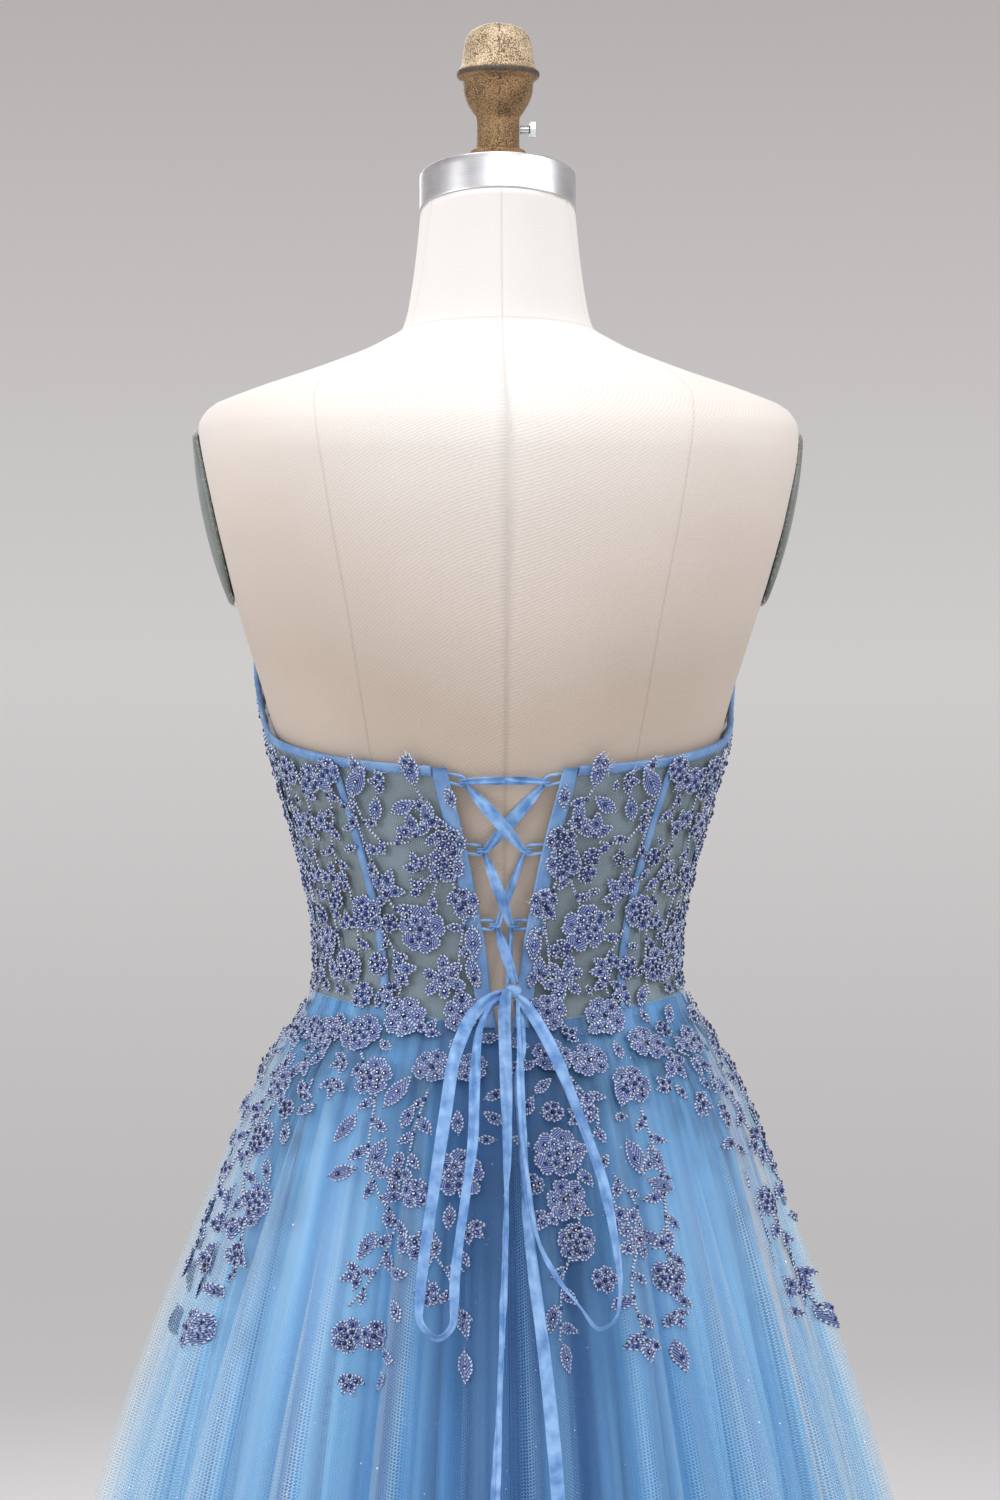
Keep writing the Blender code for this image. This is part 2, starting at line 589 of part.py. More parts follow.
def skirt_trim(name, turn, height):
    """Half the gap at a layer's edge, as a turn. It is the slit's at the centre back and a seam's elsewhere."""
    gap = max(OPENING_AT(height), SEAM / 2) if turn % 360 == 0 else SEAM / 2
    return math.degrees(gap / skirt_point(name, turn, height).xy.length)


def add_skirt_layer(name, finish):
    """One layer, cut as a front and two backs, hung from the waist seam and open in a slit at the centre back."""
    step = 360 / LAYERS[name].facets
    for piece, start, end in (("back_left", 0, 90), ("front", 90, 270), ("back_right", 270, 360)):
        turns = spaced(start, end, round((end - start) / step))
        grids = []
        for distance in (0, CLOTH):
            columns = []
            for k, turn in enumerate(turns):
                inward = (k == 0) - (k == len(turns) - 1)
                heights = skirt_heights(name, turn)
                columns.append([
                    skirt_point(name, turn + inward * skirt_trim(name, turn, height), height, distance)
                    for height in heights[::-1]
                ])
            grids.append([list(row) for row in zip(*columns)])
        add_panel(f"skirt_{name}_{piece}", *grids, finish)


# ---- The lace ----

LACE_OFF = CASING_OFF + TRIM + 2 * SEAM


def add_bodice_lace():
    """Embroidered lace laid over the net and the casings, from the binding to the waist seam."""
    for ending, side in sides():
        for name, start, end in (("back", 0, 2), ("front", 2, 4)):
            columns = columns_between(start, end, SEAM)
            if start == 0:
                columns[0] = shifted(0, 0.3 * CASING_WIDTH)
            add_bodice_piece(f"lace_bodice_{name}_{ending}", side, columns, BELOW_BINDING, LACE_OFF, "lace", TRIM)


def tulle_face(turn, height, distance):
    """A point this far outside the outer tulle's faceted surface, on one of its columns."""
    rings = skirt_heights("outer_tulle", turn)
    below = next(k for k in range(1, len(rings)) if rings[k] <= height)
    share = (rings[below - 1] - height) / (rings[below - 1] - rings[below])
    above, under = (skirt_point("outer_tulle", turn, rings[k], CLOTH + distance) for k in (below - 1, below))
    return above.lerp(under, share)


def add_skirt_lace():
    """Lace sewn on the outer tulle, hanging in sprays of uneven length. Its rows are the tulle's own rings, which
    close up where the lace ends above them."""
    step = 360 / LAYERS["outer_tulle"].facets
    close_up = 0.003
    for name, lobes in (("back", LACE_BACK), ("side", LACE_SIDE), ("front", LACE_FRONT)):
        hang_at = columns_of(lobes)[0]
        first, last = (round(lobes[k].turn / step) for k in (0, -1))
        turns = [step * k for k in range(max(first, 1), last + 1)]
        rows = sum(drop < max(lobe.hang for lobe in lobes) + 0.030 for drop in SKIRT_DROPS) + 1
        for ending, side in sides():
            grids = []
            for distance in (LACE_LIFT, LACE_LIFT + TRIM):
                columns = []
                for turn in turns:
                    rings = skirt_heights("outer_tulle", turn)
                    top = rings[0] - LACE_DROP
                    bottom = top - hang_at(turn)
                    closing = [bottom + close_up * (rows - k) for k in range(rows)]
                    heights = [top] + [max(pair) for pair in zip(rings[1:rows], closing[1:])] + [bottom]
                    columns.append([tulle_face(side * turn, height, distance) for height in heights[::-1]])
                grids.append([list(row) for row in zip(*columns[::side])])
            add_panel(f"lace_skirt_{name}_{ending}", *grids, "lace")


# ---- The lacing and its bow ----

def add_strip(name, route, across, width=RIBBON):
    """A flat ribbon along a route of (point, share of full width, twist in degrees) rows.

    The ribbon's flat side is carried along the route without turning, from lying along `across` at its start, and
    then twisted by the row's angle."""
    shares = list(range(len(route)))
    columns = [curve_through(shares, [row[0][k] for row in route]) for k in range(3)]
    width_at = curve_through(shares, [row[1] for row in route])
    twist_at = curve_through(shares, [row[2] for row in route])
    per_span = 2
    places = spaced(0, len(route) - 1, per_span * (len(route) - 1))
    line = [Vector([column(place) for column in columns]) for place in places]
    made = bmesh.new()
    rings = []
    flat = Vector(across)
    for k, middle in enumerate(line):
        along = (line[min(k + 1, len(line) - 1)] - line[max(k - 1, 0)]).normalized()
        flat = (flat - along * flat.dot(along)).normalized()
        facing = Matrix.Rotation(math.radians(twist_at(places[k])), 3, along) @ flat
        half = facing * width * width_at(places[k]) / 2
        thick = along.cross(facing) * TRIM / 2
        rings.append([made.verts.new(middle + a * half + b * thick) for a, b in ((1, 1), (-1, 1), (-1, -1), (1, -1))])
    for low, high in zip(rings, rings[1:]):
        for k in range(4):
            made.faces.new((low[k], low[(k + 1) % 4], high[(k + 1) % 4], high[k]))
    made.faces.new(rings[0][::-1])
    made.faces.new(rings[-1])
    return add_bmesh(name, made, "satin")


def opening_edge(side, height, off):
    """The point of the opening casing's edge at this height, this far off the form."""
    return figure_off(side * opening_turn(height), height, off)


def loop_tip(side, loop):
    """The inner end of a button loop, at the middle of its thickness."""
    return opening_edge(side, loop.height, LACING_OFF) + Vector((-side * loop.reach, 0, 0))


def add_button_loops():
    """Satin rouleau loops caught into the opening's edges, three a side."""
    for number, loop in enumerate(LOOPS, 1):
        for ending, side in sides():
            tip = loop_tip(side, loop)
            root = tip.x + side * (loop.reach - SEAM - LOOP_WIRE)
            bend = tip.x + side * LOOP_LEG
            outline = [(root, LOOP_LEG), (bend, LOOP_LEG)]
            outline += [
                (bend - side * LOOP_LEG * math.sin(angle), LOOP_LEG * math.cos(angle))
                for angle in spaced(0, math.pi, 6)[1:-1]
            ]
            outline += [(bend, -LOOP_LEG), (root, -LOOP_LEG)]
            curve = bpy.data.curves.new(f"loop_{ending}_{number}", "CURVE")
            curve.dimensions = "3D"
            curve.bevel_depth = LOOP_WIRE
            curve.bevel_resolution = 1
            curve.use_fill_caps = True
            line = curve.splines.new("POLY")
            line.points.add(len(outline) - 1)
            for point, (x, up) in zip(line.points, outline):
                point.co = (x, tip.y, tip.z + up, 1)
            curve.materials.append(material("satin"))
            bpy.context.scene.collection.objects.link(bpy.data.objects.new(curve.name, curve))


THREADED = 0.32  # share of its width to which the ribbon is drawn together inside a loop


def through_loop(side, loop):
    """The ribbon's rows round one loop: over its tip, in through it, and out underneath, a little lower."""
    tip = loop_tip(side, loop)
    over = LOOP_WIRE + TRIM / 2 + 2 * SEAM
    outside, off, down = Vector((side, 0, 0)), Vector((0, 1, 0)), Vector((0, 0, -1))
    return [
        (tip - outside * 0.0026 + off * (over + 0.0002), 0.40, 0),
        (tip + outside * 0.0005 + off * (over + 0.0006), THREADED, 0),
        (tip + outside * (LOOP_WIRE + 0.0022), THREADED, 0),
        (tip + outside * 0.0005 - off * (over + 0.0004) + down * 0.0006, THREADED, 0),
        (tip - outside * 0.0025 - off * over + down * 0.0031, 0.36, 0),
    ]


def add_lacing():
    """One ribbon laced through the loops from a bar across the top. Its two halves cross three times."""
    top, middle, low = LOOPS
    over, under = 0.0032, -0.0018
    heights = [(top.height + middle.height) / 2, (middle.height + low.height) / 2, low.height / 2]
    bar = figure_off(0, top.height + 0.0005, LACING_OFF + 0.0006)
    for ending, side in sides():
        # The half that leaves the top left loop lies on top at the first and third crossings.
        lifts = [over if side * turn > 0 else under for turn in (1, -1, 1)]
        crossings = [(figure_off(0, *place), 0.85, 0) for place in
                     ((height, LACING_OFF + lift) for height, lift in zip(heights, lifts))]
        route = [(bar + Vector((side * SEAM, 0, 0)), 0.8, 0), (bar + Vector((side * 0.012, 0, 0)), 0.8, 0)]
        route += [*through_loop(side, top), crossings[0]]
        route += [*through_loop(-side, middle), crossings[1]]
        route += [*through_loop(side, low), crossings[2]]
        end = figure_off(0, KNOT.z + KNOT_HALF.z + (5 + side) * SEAM, KNOT_OFF + side * 0.0012)
        route += [(end + Vector((KNOT.x - side * 0.0022, 0, 0)), 0.42, 0)]
        add_strip(f"lacing_{ending}", route, (0, 0, 1))


def knot_centre():
    return figure_off(0, KNOT.z, KNOT_OFF) + Vector((KNOT.x, 0, 0))


def hanging_point(x, height, lift, knot_lift):
    """A point of the bow: off the knot's middle near the knot, and clear of the tulle's folds and lace below it."""
    half_width, half_depth, fold_depth = (column(-height) for column in LAYER_AT["outer_tulle"])
    depth = half_depth + fold_depth + CLOTH + LACE_LIFT + TRIM
    y = depth * (1 - min(abs(x) / half_width, 0.9) ** 2.1) ** (1 / 2.1)
    seam = figure_off(0, max(height, WAIST_SEAM_AT(0)), LAYERS["outer_tulle"].stand_off + CLOTH + TRIM).y
    below_knot = smooth_step((KNOT.z - height) / 0.030)
    at_knot = knot_centre().y + knot_lift
    return Vector((x, at_knot + (max(y, seam) + lift - at_knot) * below_knot, WAIST + height))


# The bow's loops and tails: across from the centre back, height above the waist, share of the ribbon's width,
# and twist. Across is towards the wearer's left.
Fall = namedtuple("Fall", "across height share twist")
LEFT_LOOP = [
    Fall(0.0017, -0.0096, 0.42, 0), Fall(0.0230, -0.0283, 0.75, 10), Fall(0.0312, -0.0450, 0.80, 20),
    Fall(0.0372, -0.0770, 0.85, 30), Fall(0.0444, -0.1160, 0.85, 25), Fall(0.0526, -0.1690, 0.80, 35),
    Fall(0.0539, -0.1880, 0.60, 60), Fall(0.0436, -0.1995, 0.55, 85), Fall(0.0342, -0.1900, 0.60, 70),
    Fall(0.0334, -0.1690, 0.75, 40), Fall(0.0269, -0.1245, 0.80, 25), Fall(0.0214, -0.0894, 0.80, 25),
    Fall(0.0188, -0.0540, 0.80, 20), Fall(0.0145, -0.0310, 0.70, 15), Fall(-0.0008, -0.0130, 0.42, 0),
]
RIGHT_LOOP = [
    Fall(-0.0107, -0.0098, 0.42, 0), Fall(-0.0200, -0.0265, 0.70, 10), Fall(-0.0294, -0.0450, 0.80, 15),
    Fall(-0.0397, -0.0715, 0.80, 20), Fall(-0.0549, -0.1160, 0.80, 20), Fall(-0.0600, -0.1424, 0.70, 30),
    Fall(-0.0631, -0.1706, 0.65, 50), Fall(-0.0600, -0.1890, 0.60, 75), Fall(-0.0500, -0.1950, 0.60, 80),
    Fall(-0.0390, -0.1827, 0.70, 55), Fall(-0.0266, -0.1673, 0.80, 30), Fall(-0.0150, -0.1450, 0.80, 25),
    Fall(-0.0100, -0.1125, 0.70, 20), Fall(-0.0075, -0.0632, 0.65, 10), Fall(-0.0079, -0.0131, 0.42, 0),
]
LEFT_TAIL = [
    Fall(-0.0030, -0.0129, 0.36, 0), Fall(0.0008, -0.0480, 0.55, 30), Fall(0.0010, -0.0880, 0.70, 60),
    Fall(0.0029, -0.1340, 0.75, 65), Fall(0.0056, -0.1870, 0.75, 60), Fall(0.0095, -0.2520, 0.80, 55),
    Fall(0.0130, -0.3100, 0.90, 45), Fall(0.0150, -0.3600, 1.00, 30),
]
RIGHT_TAIL = [
    Fall(-0.0067, -0.0133, 0.34, 0), Fall(-0.0066, -0.0450, 0.60, 20), Fall(-0.0060, -0.0720, 0.70, 40),
    Fall(-0.0080, -0.1100, 0.75, 45), Fall(-0.0118, -0.1570, 0.85, 25), Fall(-0.0182, -0.2130, 0.95, 15),
    Fall(-0.0230, -0.2680, 1.00, 10), Fall(-0.0265, -0.3300, 1.00, 5), Fall(-0.0290, -0.4000, 1.00, 0),
]
LOOP_LIFT, TAIL_LIFT = 0.0085, 0.0028  # how far each lies off the skirt's lace
LOOP_AT_KNOT, TAIL_AT_KNOT = 0.0020, -0.0022  # and where it leaves the knot, in front of its centre


def add_bow():
    """A small knot under the last crossing, two long loops and two tails, hanging down the back of the skirt."""
    made = bmesh.new()
    bmesh.ops.create_icosphere(made, subdivisions=2, radius=1)
    place = Matrix.Translation(knot_centre()) @ Matrix.Diagonal((*KNOT_HALF, 1))
    bmesh.ops.transform(made, matrix=place, verts=made.verts)
    add_bmesh("bow_knot", made, "satin")
    for name, falls, lifts in (
        ("bow_loop_left", LEFT_LOOP, (LOOP_LIFT, LOOP_AT_KNOT)),
        ("bow_loop_right", RIGHT_LOOP, (LOOP_LIFT, LOOP_AT_KNOT)),
        ("bow_tail_left", LEFT_TAIL, (TAIL_LIFT, TAIL_AT_KNOT)),
        ("bow_tail_right", RIGHT_TAIL, (TAIL_LIFT, TAIL_AT_KNOT)),
    ):
        route = [(hanging_point(fall.across, fall.height, *lifts), fall.share, fall.twist) for fall in falls]
        add_strip(name, route, (1, 0, 0))


def clear_scene():
    for obj in list(bpy.data.objects):
        bpy.data.objects.remove(obj, do_unlink=True)


clear_scene()
add_form_body()
add_arm_plates()
add_neck_fittings()
add_stand()
add_bodice()
add_casings()
add_binding()
add_skirt_layer("lining", "lining")
add_skirt_layer("under_tulle", "tulle")
add_skirt_layer("outer_tulle", "tulle")
add_bodice_lace()
add_skirt_lace()
add_button_loops()
add_lacing()
add_bow()
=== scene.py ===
"""The looks of an A-line prom dress with a laced back, worn by a limbless dress form on a plain stand.

Metres, +Z up. The dress faces -Y, and its wearer's left is +X. A turn is in degrees round the body, from 0 at
the centre back by the wearer's left to 180 at the centre front, and a height is above the waist.
"""

import math
from collections import namedtuple

import bpy
import numpy as np
from mathutils import Matrix, Vector


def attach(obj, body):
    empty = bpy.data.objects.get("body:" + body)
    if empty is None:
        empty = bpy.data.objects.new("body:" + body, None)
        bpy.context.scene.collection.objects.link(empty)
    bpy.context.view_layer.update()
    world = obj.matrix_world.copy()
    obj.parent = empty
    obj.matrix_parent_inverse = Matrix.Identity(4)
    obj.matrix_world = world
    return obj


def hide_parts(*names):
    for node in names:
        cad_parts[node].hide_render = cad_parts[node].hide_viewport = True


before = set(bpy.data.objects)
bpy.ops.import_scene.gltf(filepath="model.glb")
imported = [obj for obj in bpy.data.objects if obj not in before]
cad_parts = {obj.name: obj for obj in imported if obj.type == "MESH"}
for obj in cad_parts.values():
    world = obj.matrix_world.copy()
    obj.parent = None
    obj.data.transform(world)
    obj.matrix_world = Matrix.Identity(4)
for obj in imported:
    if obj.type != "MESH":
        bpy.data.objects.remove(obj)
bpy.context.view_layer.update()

# ---- The room ----
# A pale floor that sweeps up into a round wall of the same paint, with large soft lamps above and beside the
# dress. The paint glows faintly and is paler low on the wall and darker higher up: painted light and shade.
# The camera stands behind the dress, a little to its wearer's left, level with the shoulder blades.

scene = bpy.context.scene
scene.view_settings.view_transform = "Standard"
scene.cycles.transparent_max_bounces = 24
scene.cycles.max_bounces = 5
scene.cycles.diffuse_bounces = 2
scene.cycles.glossy_bounces = 2

CAMERA_PLACE, CAMERA_LENS = Vector((0.1003, 2.2978, 1.1986)), 87.6
LOOK_AT = Vector((-0.0013, 0, 1.1986))
SENSOR_WIDTH = 36  # millimetres, as the lens is
ROOM_RADIUS, ROOM_SWEEP, ROOM_HEIGHT, ROOM_SIDES, ROOM_GLOW = 9.6, 3.2, 8.0, 96, 0.44
# Painted light: colours and glow by the share of the wall's height, from the floor up.
ROOM_PAINTED_LIGHT_TONES = [(0.0, (0.56, 0.55, 0.552)), (0.18, (0.67, 0.655, 0.657)), (0.5, (0.46, 0.44, 0.43))]
SKY_TONE, SKY_STRENGTH = (0.75, 0.75, 0.76, 1), 0.45
# Each lamp's name, place, target, size and power. The last is a wide one that shows only in gloss, as a
# bright band across the form's steel neck.
LAMPS = [
    ("lamp_top", (0.3, 0.5, 3.7), (0, 0, 1.0), (2.4, 2.4), 44),
    ("lamp_back_left", (3.1, 1.5, 1.7), (0, 0, 1.1), (1.8, 2.4), 48),
    ("lamp_back_right", (-2.8, 1.5, 2.9), (0, 0, 1.3), (1.8, 2.4), 52),
    ("lamp_behind", (-0.3, 3.7, 3.7), (0, 0, 1.3), (3.0, 1.3), 10),
    ("lamp_front", (0.4, -3.2, 2.6), (0, 0, 0.9), (2.4, 2.4), 38),
    ("lamp_glance", (-0.1, 3.8, 3.7), (0, 0, 1.5), (3.6, 0.9), 30),
]


def add_node(tree, kind, inputs=None, **settings):
    """A shader or geometry node. An input that is a socket is linked, and any other is set."""
    made = tree.nodes.new(kind)
    for key, value in settings.items():
        setattr(made, key, value)
    for key, value in (inputs or {}).items():
        if isinstance(value, bpy.types.NodeSocket):
            tree.links.new(value, made.inputs[key])
        else:
            made.inputs[key].default_value = value
    return made


def new_material(name, **values):
    """A Principled material. Each value's name is a socket's, with _ for its spaces."""
    made = bpy.data.materials.new(name)
    made.use_nodes = True
    shader = made.node_tree.nodes["Principled BSDF"]
    for key, value in values.items():
        socket = shader.inputs[key.replace("_", " ")]
        socket.default_value = (*value, 1) if isinstance(value, tuple) else value
    return made, made.node_tree, shader


def feed(shader, socket, value):
    shader.id_data.links.new(value, shader.inputs[socket])


def math_node(tree, operation, first, second=0.0, third=0.0, clamp=False):
    inputs = {0: first, 1: second, 2: third}
    return add_node(tree, "ShaderNodeMath", inputs, operation=operation, use_clamp=clamp).outputs[0]


def times(tree, first, second, clamp=False):
    return math_node(tree, "MULTIPLY", first, second, 0.0, clamp)


def noise(tree, place, scale, detail=3.0):
    inputs = {"Vector": place, "Scale": scale, "Detail": detail}
    return add_node(tree, "ShaderNodeTexNoise", inputs).outputs["Fac"]


def ramp(tree, value, stops):
    """Colours by value. stops are (value, colour) pairs."""
    made = add_node(tree, "ShaderNodeValToRGB", {"Fac": value})
    elements = made.color_ramp.elements
    while len(elements) < len(stops):
        elements.new(0.5)
    for element, (position, colour) in zip(elements, stops):
        element.position = position
        element.color = (*colour, 1)
    return made.outputs["Color"]


def object_place(tree):
    return add_node(tree, "ShaderNodeTexCoord").outputs["Object"]


def add_object(name, data):
    obj = bpy.data.objects.new(name, data)
    scene.collection.objects.link(obj)
    return obj


def stacked(*columns):
    """Numbers or arrays side by side, each spread to the shape of them all."""
    return np.stack(np.broadcast_arrays(*columns), -1)


def add_mesh(name, points, faces, materials, uv=None, marks=None, smooth=True):
    """A mesh object from arrays. uv is one pair a point, and marks is each face's material."""
    mesh = bpy.data.meshes.new(name)
    corners = np.concatenate([face.reshape(-1) for face in faces]).astype(np.int32)
    sizes = np.concatenate([np.full(len(face), face.shape[1]) for face in faces]).astype(np.int32)
    mesh.vertices.add(len(points))
    mesh.vertices.foreach_set("co", np.asarray(points, np.float32).reshape(-1))
    mesh.loops.add(len(corners))
    mesh.loops.foreach_set("vertex_index", corners)
    mesh.polygons.add(len(sizes))
    mesh.polygons.foreach_set("loop_start", np.concatenate(([0], np.cumsum(sizes)[:-1])).astype(np.int32))
    mesh.polygons.foreach_set("loop_total", sizes)
    mesh.update(calc_edges=True)
    for made in materials:
        mesh.materials.append(made)
    if marks is not None:
        mesh.polygons.foreach_set("material_index", np.asarray(marks, np.int32))
    if uv is not None:
        layer = mesh.uv_layers.new(name="cloth")
        layer.data.foreach_set("uv", np.asarray(uv, np.float32)[corners].reshape(-1))
    if smooth:
        mesh.shade_smooth()
    return add_object(name, mesh)


def grid_faces(tall, wide, closed=False):
    """The quads of a grid of points. closed joins its last column to its first."""
    row, column = np.meshgrid(np.arange(tall - 1), np.arange(wide if closed else wide - 1), indexing="ij")
    after = (column + 1) % wide
    low, high = row * wide, (row + 1) * wide
    return stacked(low + column, low + after, high + after, high + column).reshape(-1, 4)


def lathe_points(profile, count):
    """The rings of a turned shape, from its lowest point outwards and up."""
    angle = np.linspace(0, 2 * np.pi, count, endpoint=False)
    radius, height = (np.array(column, float)[:, None] for column in zip(*profile))
    return stacked(radius * np.cos(angle), radius * np.sin(angle), height)


def add_room():
    profile = [(0, 0), (ROOM_RADIUS - ROOM_SWEEP, 0)]
    for angle in np.radians(np.arange(6, 91, 6)):
        profile.append((ROOM_RADIUS - ROOM_SWEEP * (1 - math.sin(angle)), ROOM_SWEEP * (1 - math.cos(angle))))
    profile.append((ROOM_RADIUS, ROOM_HEIGHT))
    paint, tree, shader = new_material("room_paint_and_glow", Roughness=0.9, Specular_IOR_Level=0.1)
    place = object_place(tree)
    up = add_node(tree, "ShaderNodeSeparateXYZ", {"Vector": place}).outputs["Z"]
    # Painted light: the wall's colour and glow are paler low down and darker higher up.
    tone = ramp(tree, times(tree, up, 1 / ROOM_HEIGHT), ROOM_PAINTED_LIGHT_TONES)
    for socket in ("Base Color", "Emission Color"):
        feed(shader, socket, tone)
    shader.inputs["Emission Strength"].default_value = ROOM_GLOW
    paint.cycles.emission_sampling = "NONE"
    rings = lathe_points(profile[1:], ROOM_SIDES)
    points = np.concatenate((rings.reshape(-1, 3), [(0, 0, 0)]))
    around = np.arange(ROOM_SIDES)
    centre = stacked(around, np.roll(around, -1), len(points) - 1)
    wall = grid_faces(len(profile) - 1, ROOM_SIDES, True)[:, ::-1]
    add_mesh("room", points, [wall, centre], [paint])


def aim(obj, place, target):
    obj.location = place
    obj.rotation_euler = (Vector(target) - Vector(place)).to_track_quat("-Z", "Y").to_euler()


def add_lamp(name, place, target, size, power):
    lamp = bpy.data.lights.new(name, "AREA")
    lamp.shape = "ELLIPSE"
    lamp.size, lamp.size_y = size
    lamp.energy = power
    obj = add_object(name, lamp)
    obj.visible_diffuse = name != "lamp_glance"
    aim(obj, place, target)


add_room()
for lamp_row in LAMPS:
    add_lamp(*lamp_row)
scene.camera = add_object("camera", bpy.data.cameras.new("camera"))
scene.camera.data.lens = CAMERA_LENS
scene.camera.data.sensor_width = SENSOR_WIDTH
aim(scene.camera, CAMERA_PLACE, LOOK_AT)
scene.world = bpy.data.worlds.new("world")
scene.world.use_nodes = True
background = scene.world.node_tree.nodes["Background"].inputs
background["Color"].default_value = SKY_TONE
background["Strength"].default_value = SKY_STRENGTH

# ---- The form's body ----
# A hollow padded torso from hip to neck, covered in warm white twill that is cut in eight gores and seamed at
# the centre back and front, the sides and over the shoulder blades and bust. A flat cut closes each arm.

WAIST = 1.060
# Height, half width, back, front, squareness: 2 is an ellipse.
FORM = [
    (-0.260, 0.1620, 0.1200, 0.1120, 2.2), (-0.200, 0.1600, 0.1180, 0.1100, 2.2),
    (-0.140, 0.1500, 0.1110, 0.1050, 2.2), (-0.100, 0.1400, 0.1040, 0.1000, 2.2),
    (-0.060, 0.1280, 0.0950, 0.0940, 2.2), (-0.030, 0.1175, 0.0865, 0.0870, 2.2),
    (0.000, 0.1090, 0.0810, 0.0820, 2.2), (0.030, 0.1105, 0.0815, 0.0840, 2.2),
    (0.060, 0.1160, 0.0840, 0.0890, 2.25), (0.100, 0.1265, 0.0900, 0.0980, 2.3),
    (0.140, 0.1380, 0.0980, 0.1100, 2.4), (0.175, 0.1475, 0.1040, 0.1180, 2.5),
    (0.205, 0.1570, 0.1090, 0.1160, 2.6), (0.231, 0.1655, 0.1120, 0.1100, 2.7),
    (0.250, 0.1720, 0.1135, 0.1060, 2.8), (0.285, 0.1835, 0.1145, 0.0990, 2.9),
    (0.320, 0.1895, 0.1120, 0.0920, 2.9), (0.338, 0.1890, 0.1070, 0.0870, 2.8),
    (0.3515, 0.1820, 0.0980, 0.0800, 2.6), (0.3618, 0.1600, 0.0900, 0.0730, 2.4),
    (0.3786, 0.1120, 0.0770, 0.0620, 2.2), (0.392, 0.0780, 0.0670, 0.0560, 2.1),
    (0.4043, 0.0595, 0.0600, 0.0520, 2.0), (0.426, 0.0545, 0.0550, 0.0510, 2.0),
    (0.452, 0.0510, 0.0510, 0.0495, 2.0), (0.477, 0.0485, 0.0485, 0.0480, 2.0),
]
NECK_BASE, NECK_TOP, NECK_TILT = 0.360, 0.477, math.radians(10)
BUST_HEIGHT, BUST_OUT, BUST_WIDE, BUST_TALL, BUST_DEEP = 0.170, 0.078, 0.056, 0.066, 0.020
# How far the seams over the shoulder blades and the bust lie from the middle: height, back seam, front seam.
PRINCESS = [
    (-0.260, 0.088, 0.086), (-0.100, 0.070, 0.073), (0.000, 0.058, 0.060), (0.060, 0.067, 0.070),
    (0.137, 0.081, 0.080), (0.223, 0.095, 0.088), (0.295, 0.108, 0.104), (0.354, 0.1155, 0.1155),
    (0.3786, 0.097, 0.097), (0.400, 0.056, 0.056), (0.477, 0.042, 0.042),
]
NECK_SEAM = 0.401
SEAM_DEPTH, SEAM_HALF, ALLOWANCE, ALLOWANCE_RISE = 0.0004, 0.00055, 0.0075, 0.00025
LINEN_TWILL = 0.0011  # from one diagonal rib to the next
LINEN_TONES = [(0.0, (0.51, 0.41, 0.33)), (0.45, (0.70, 0.615, 0.555)), (1.0, (0.86, 0.825, 0.80))]
STAIN_AND_LIGHT_FROM, STAIN_AND_LIGHT_SPAN, STAIN_AND_LIGHT_ACROSS = 0.15, 0.29, 0.75  # the cloth is palest high up and near the middle, partly its own staining and partly painted light
MAP_RADIUS = 0.115  # from turns to metres on the map of the linen and of the net
ARM_CUT_LOW, ARM_CUT_HIGH, ARM_CUT_SOFT = Vector((0.1655, 0, 0.231)), Vector((0.1887, 0, 0.338)), 0.0022
PLATE_TALL, PLATE_WIDE, PLATE_EDGE, PLATE_DOME = 0.056, 0.044, 0.0030, 0.0085


def curve_through(rows, column):
    """A smooth function through a table's values that never overshoots them. Its first column is the
    place."""
    places, values = (np.array([row[k] for row in rows], float) for k in (0, column))
    slopes = np.diff(values) / np.diff(places)
    product, total = slopes[:-1] * slopes[1:], slopes[:-1] + slopes[1:]
    inner = np.where(product > 0, 2 * product / np.where(product > 0, total, 1), 0)
    tangents = np.concatenate((slopes[:1], inner, slopes[-1:]))

    def value(place):
        place = np.clip(place, places[0], places[-1])
        i = np.clip(np.searchsorted(places, place, side="right") - 1, 0, len(places) - 2)
        span = places[i + 1] - places[i]
        u = (place - places[i]) / span
        rise = values[i] * (1 + 2 * u) * (1 - u) ** 2 + values[i + 1] * u * u * (3 - 2 * u)
        return rise + span * (tangents[i] * u * (1 - u) ** 2 - tangents[i + 1] * u * u * (1 - u))

    return value


def columns_of(rows):
    return [curve_through(rows, k) for k in range(1, len(rows[0]))]


def smooth_step(value):
    value = np.clip(value, 0.0, 1.0)
    return value * value * (3 - 2 * value)


def ring_point(turn, half_width, back, front, squareness):
    across, along = np.sin(np.radians(turn)), np.cos(np.radians(turn))
    power = 2 / squareness
    x = half_width * np.sign(across) * np.abs(across) ** power
    y = np.where(along > 0, back, front) * np.sign(along) * np.abs(along) ** power
    return x, y


FORM_AT = columns_of(FORM)


def figure(turn, height):
    """Points of the form's surface."""
    turn, height = np.broadcast_arrays(np.asarray(turn, float), np.asarray(height, float))
    x, y = ring_point(turn, *(column(height) for column in FORM_AT))
    tall = (height - BUST_HEIGHT) / BUST_TALL
    for side in (-1, 1):
        wide = (x - side * BUST_OUT) / BUST_WIDE
        y = y - BUST_DEEP * np.exp(-wide * wide - tall * tall) * smooth_step(-y / 0.06)
    lean = math.tan(NECK_TILT) * smooth_step((height - NECK_BASE) / (NECK_TOP - NECK_BASE))
    return np.stack((x, y, WAIST + height + y * lean), -1)


def unit(vectors):
    return vectors / np.linalg.norm(vectors, axis=-1, keepdims=True)


def figure_off(turn, height, distance):
    """Points this far outside the form's surface, along its normal."""
    around = figure(np.add(turn, 0.5), height) - figure(np.subtract(turn, 0.5), height)
    up = figure(turn, np.add(height, 0.002)) - figure(turn, np.subtract(height, 0.002))
    return figure(turn, height) + unit(np.cross(up, around)) * np.asarray(distance)[..., None]


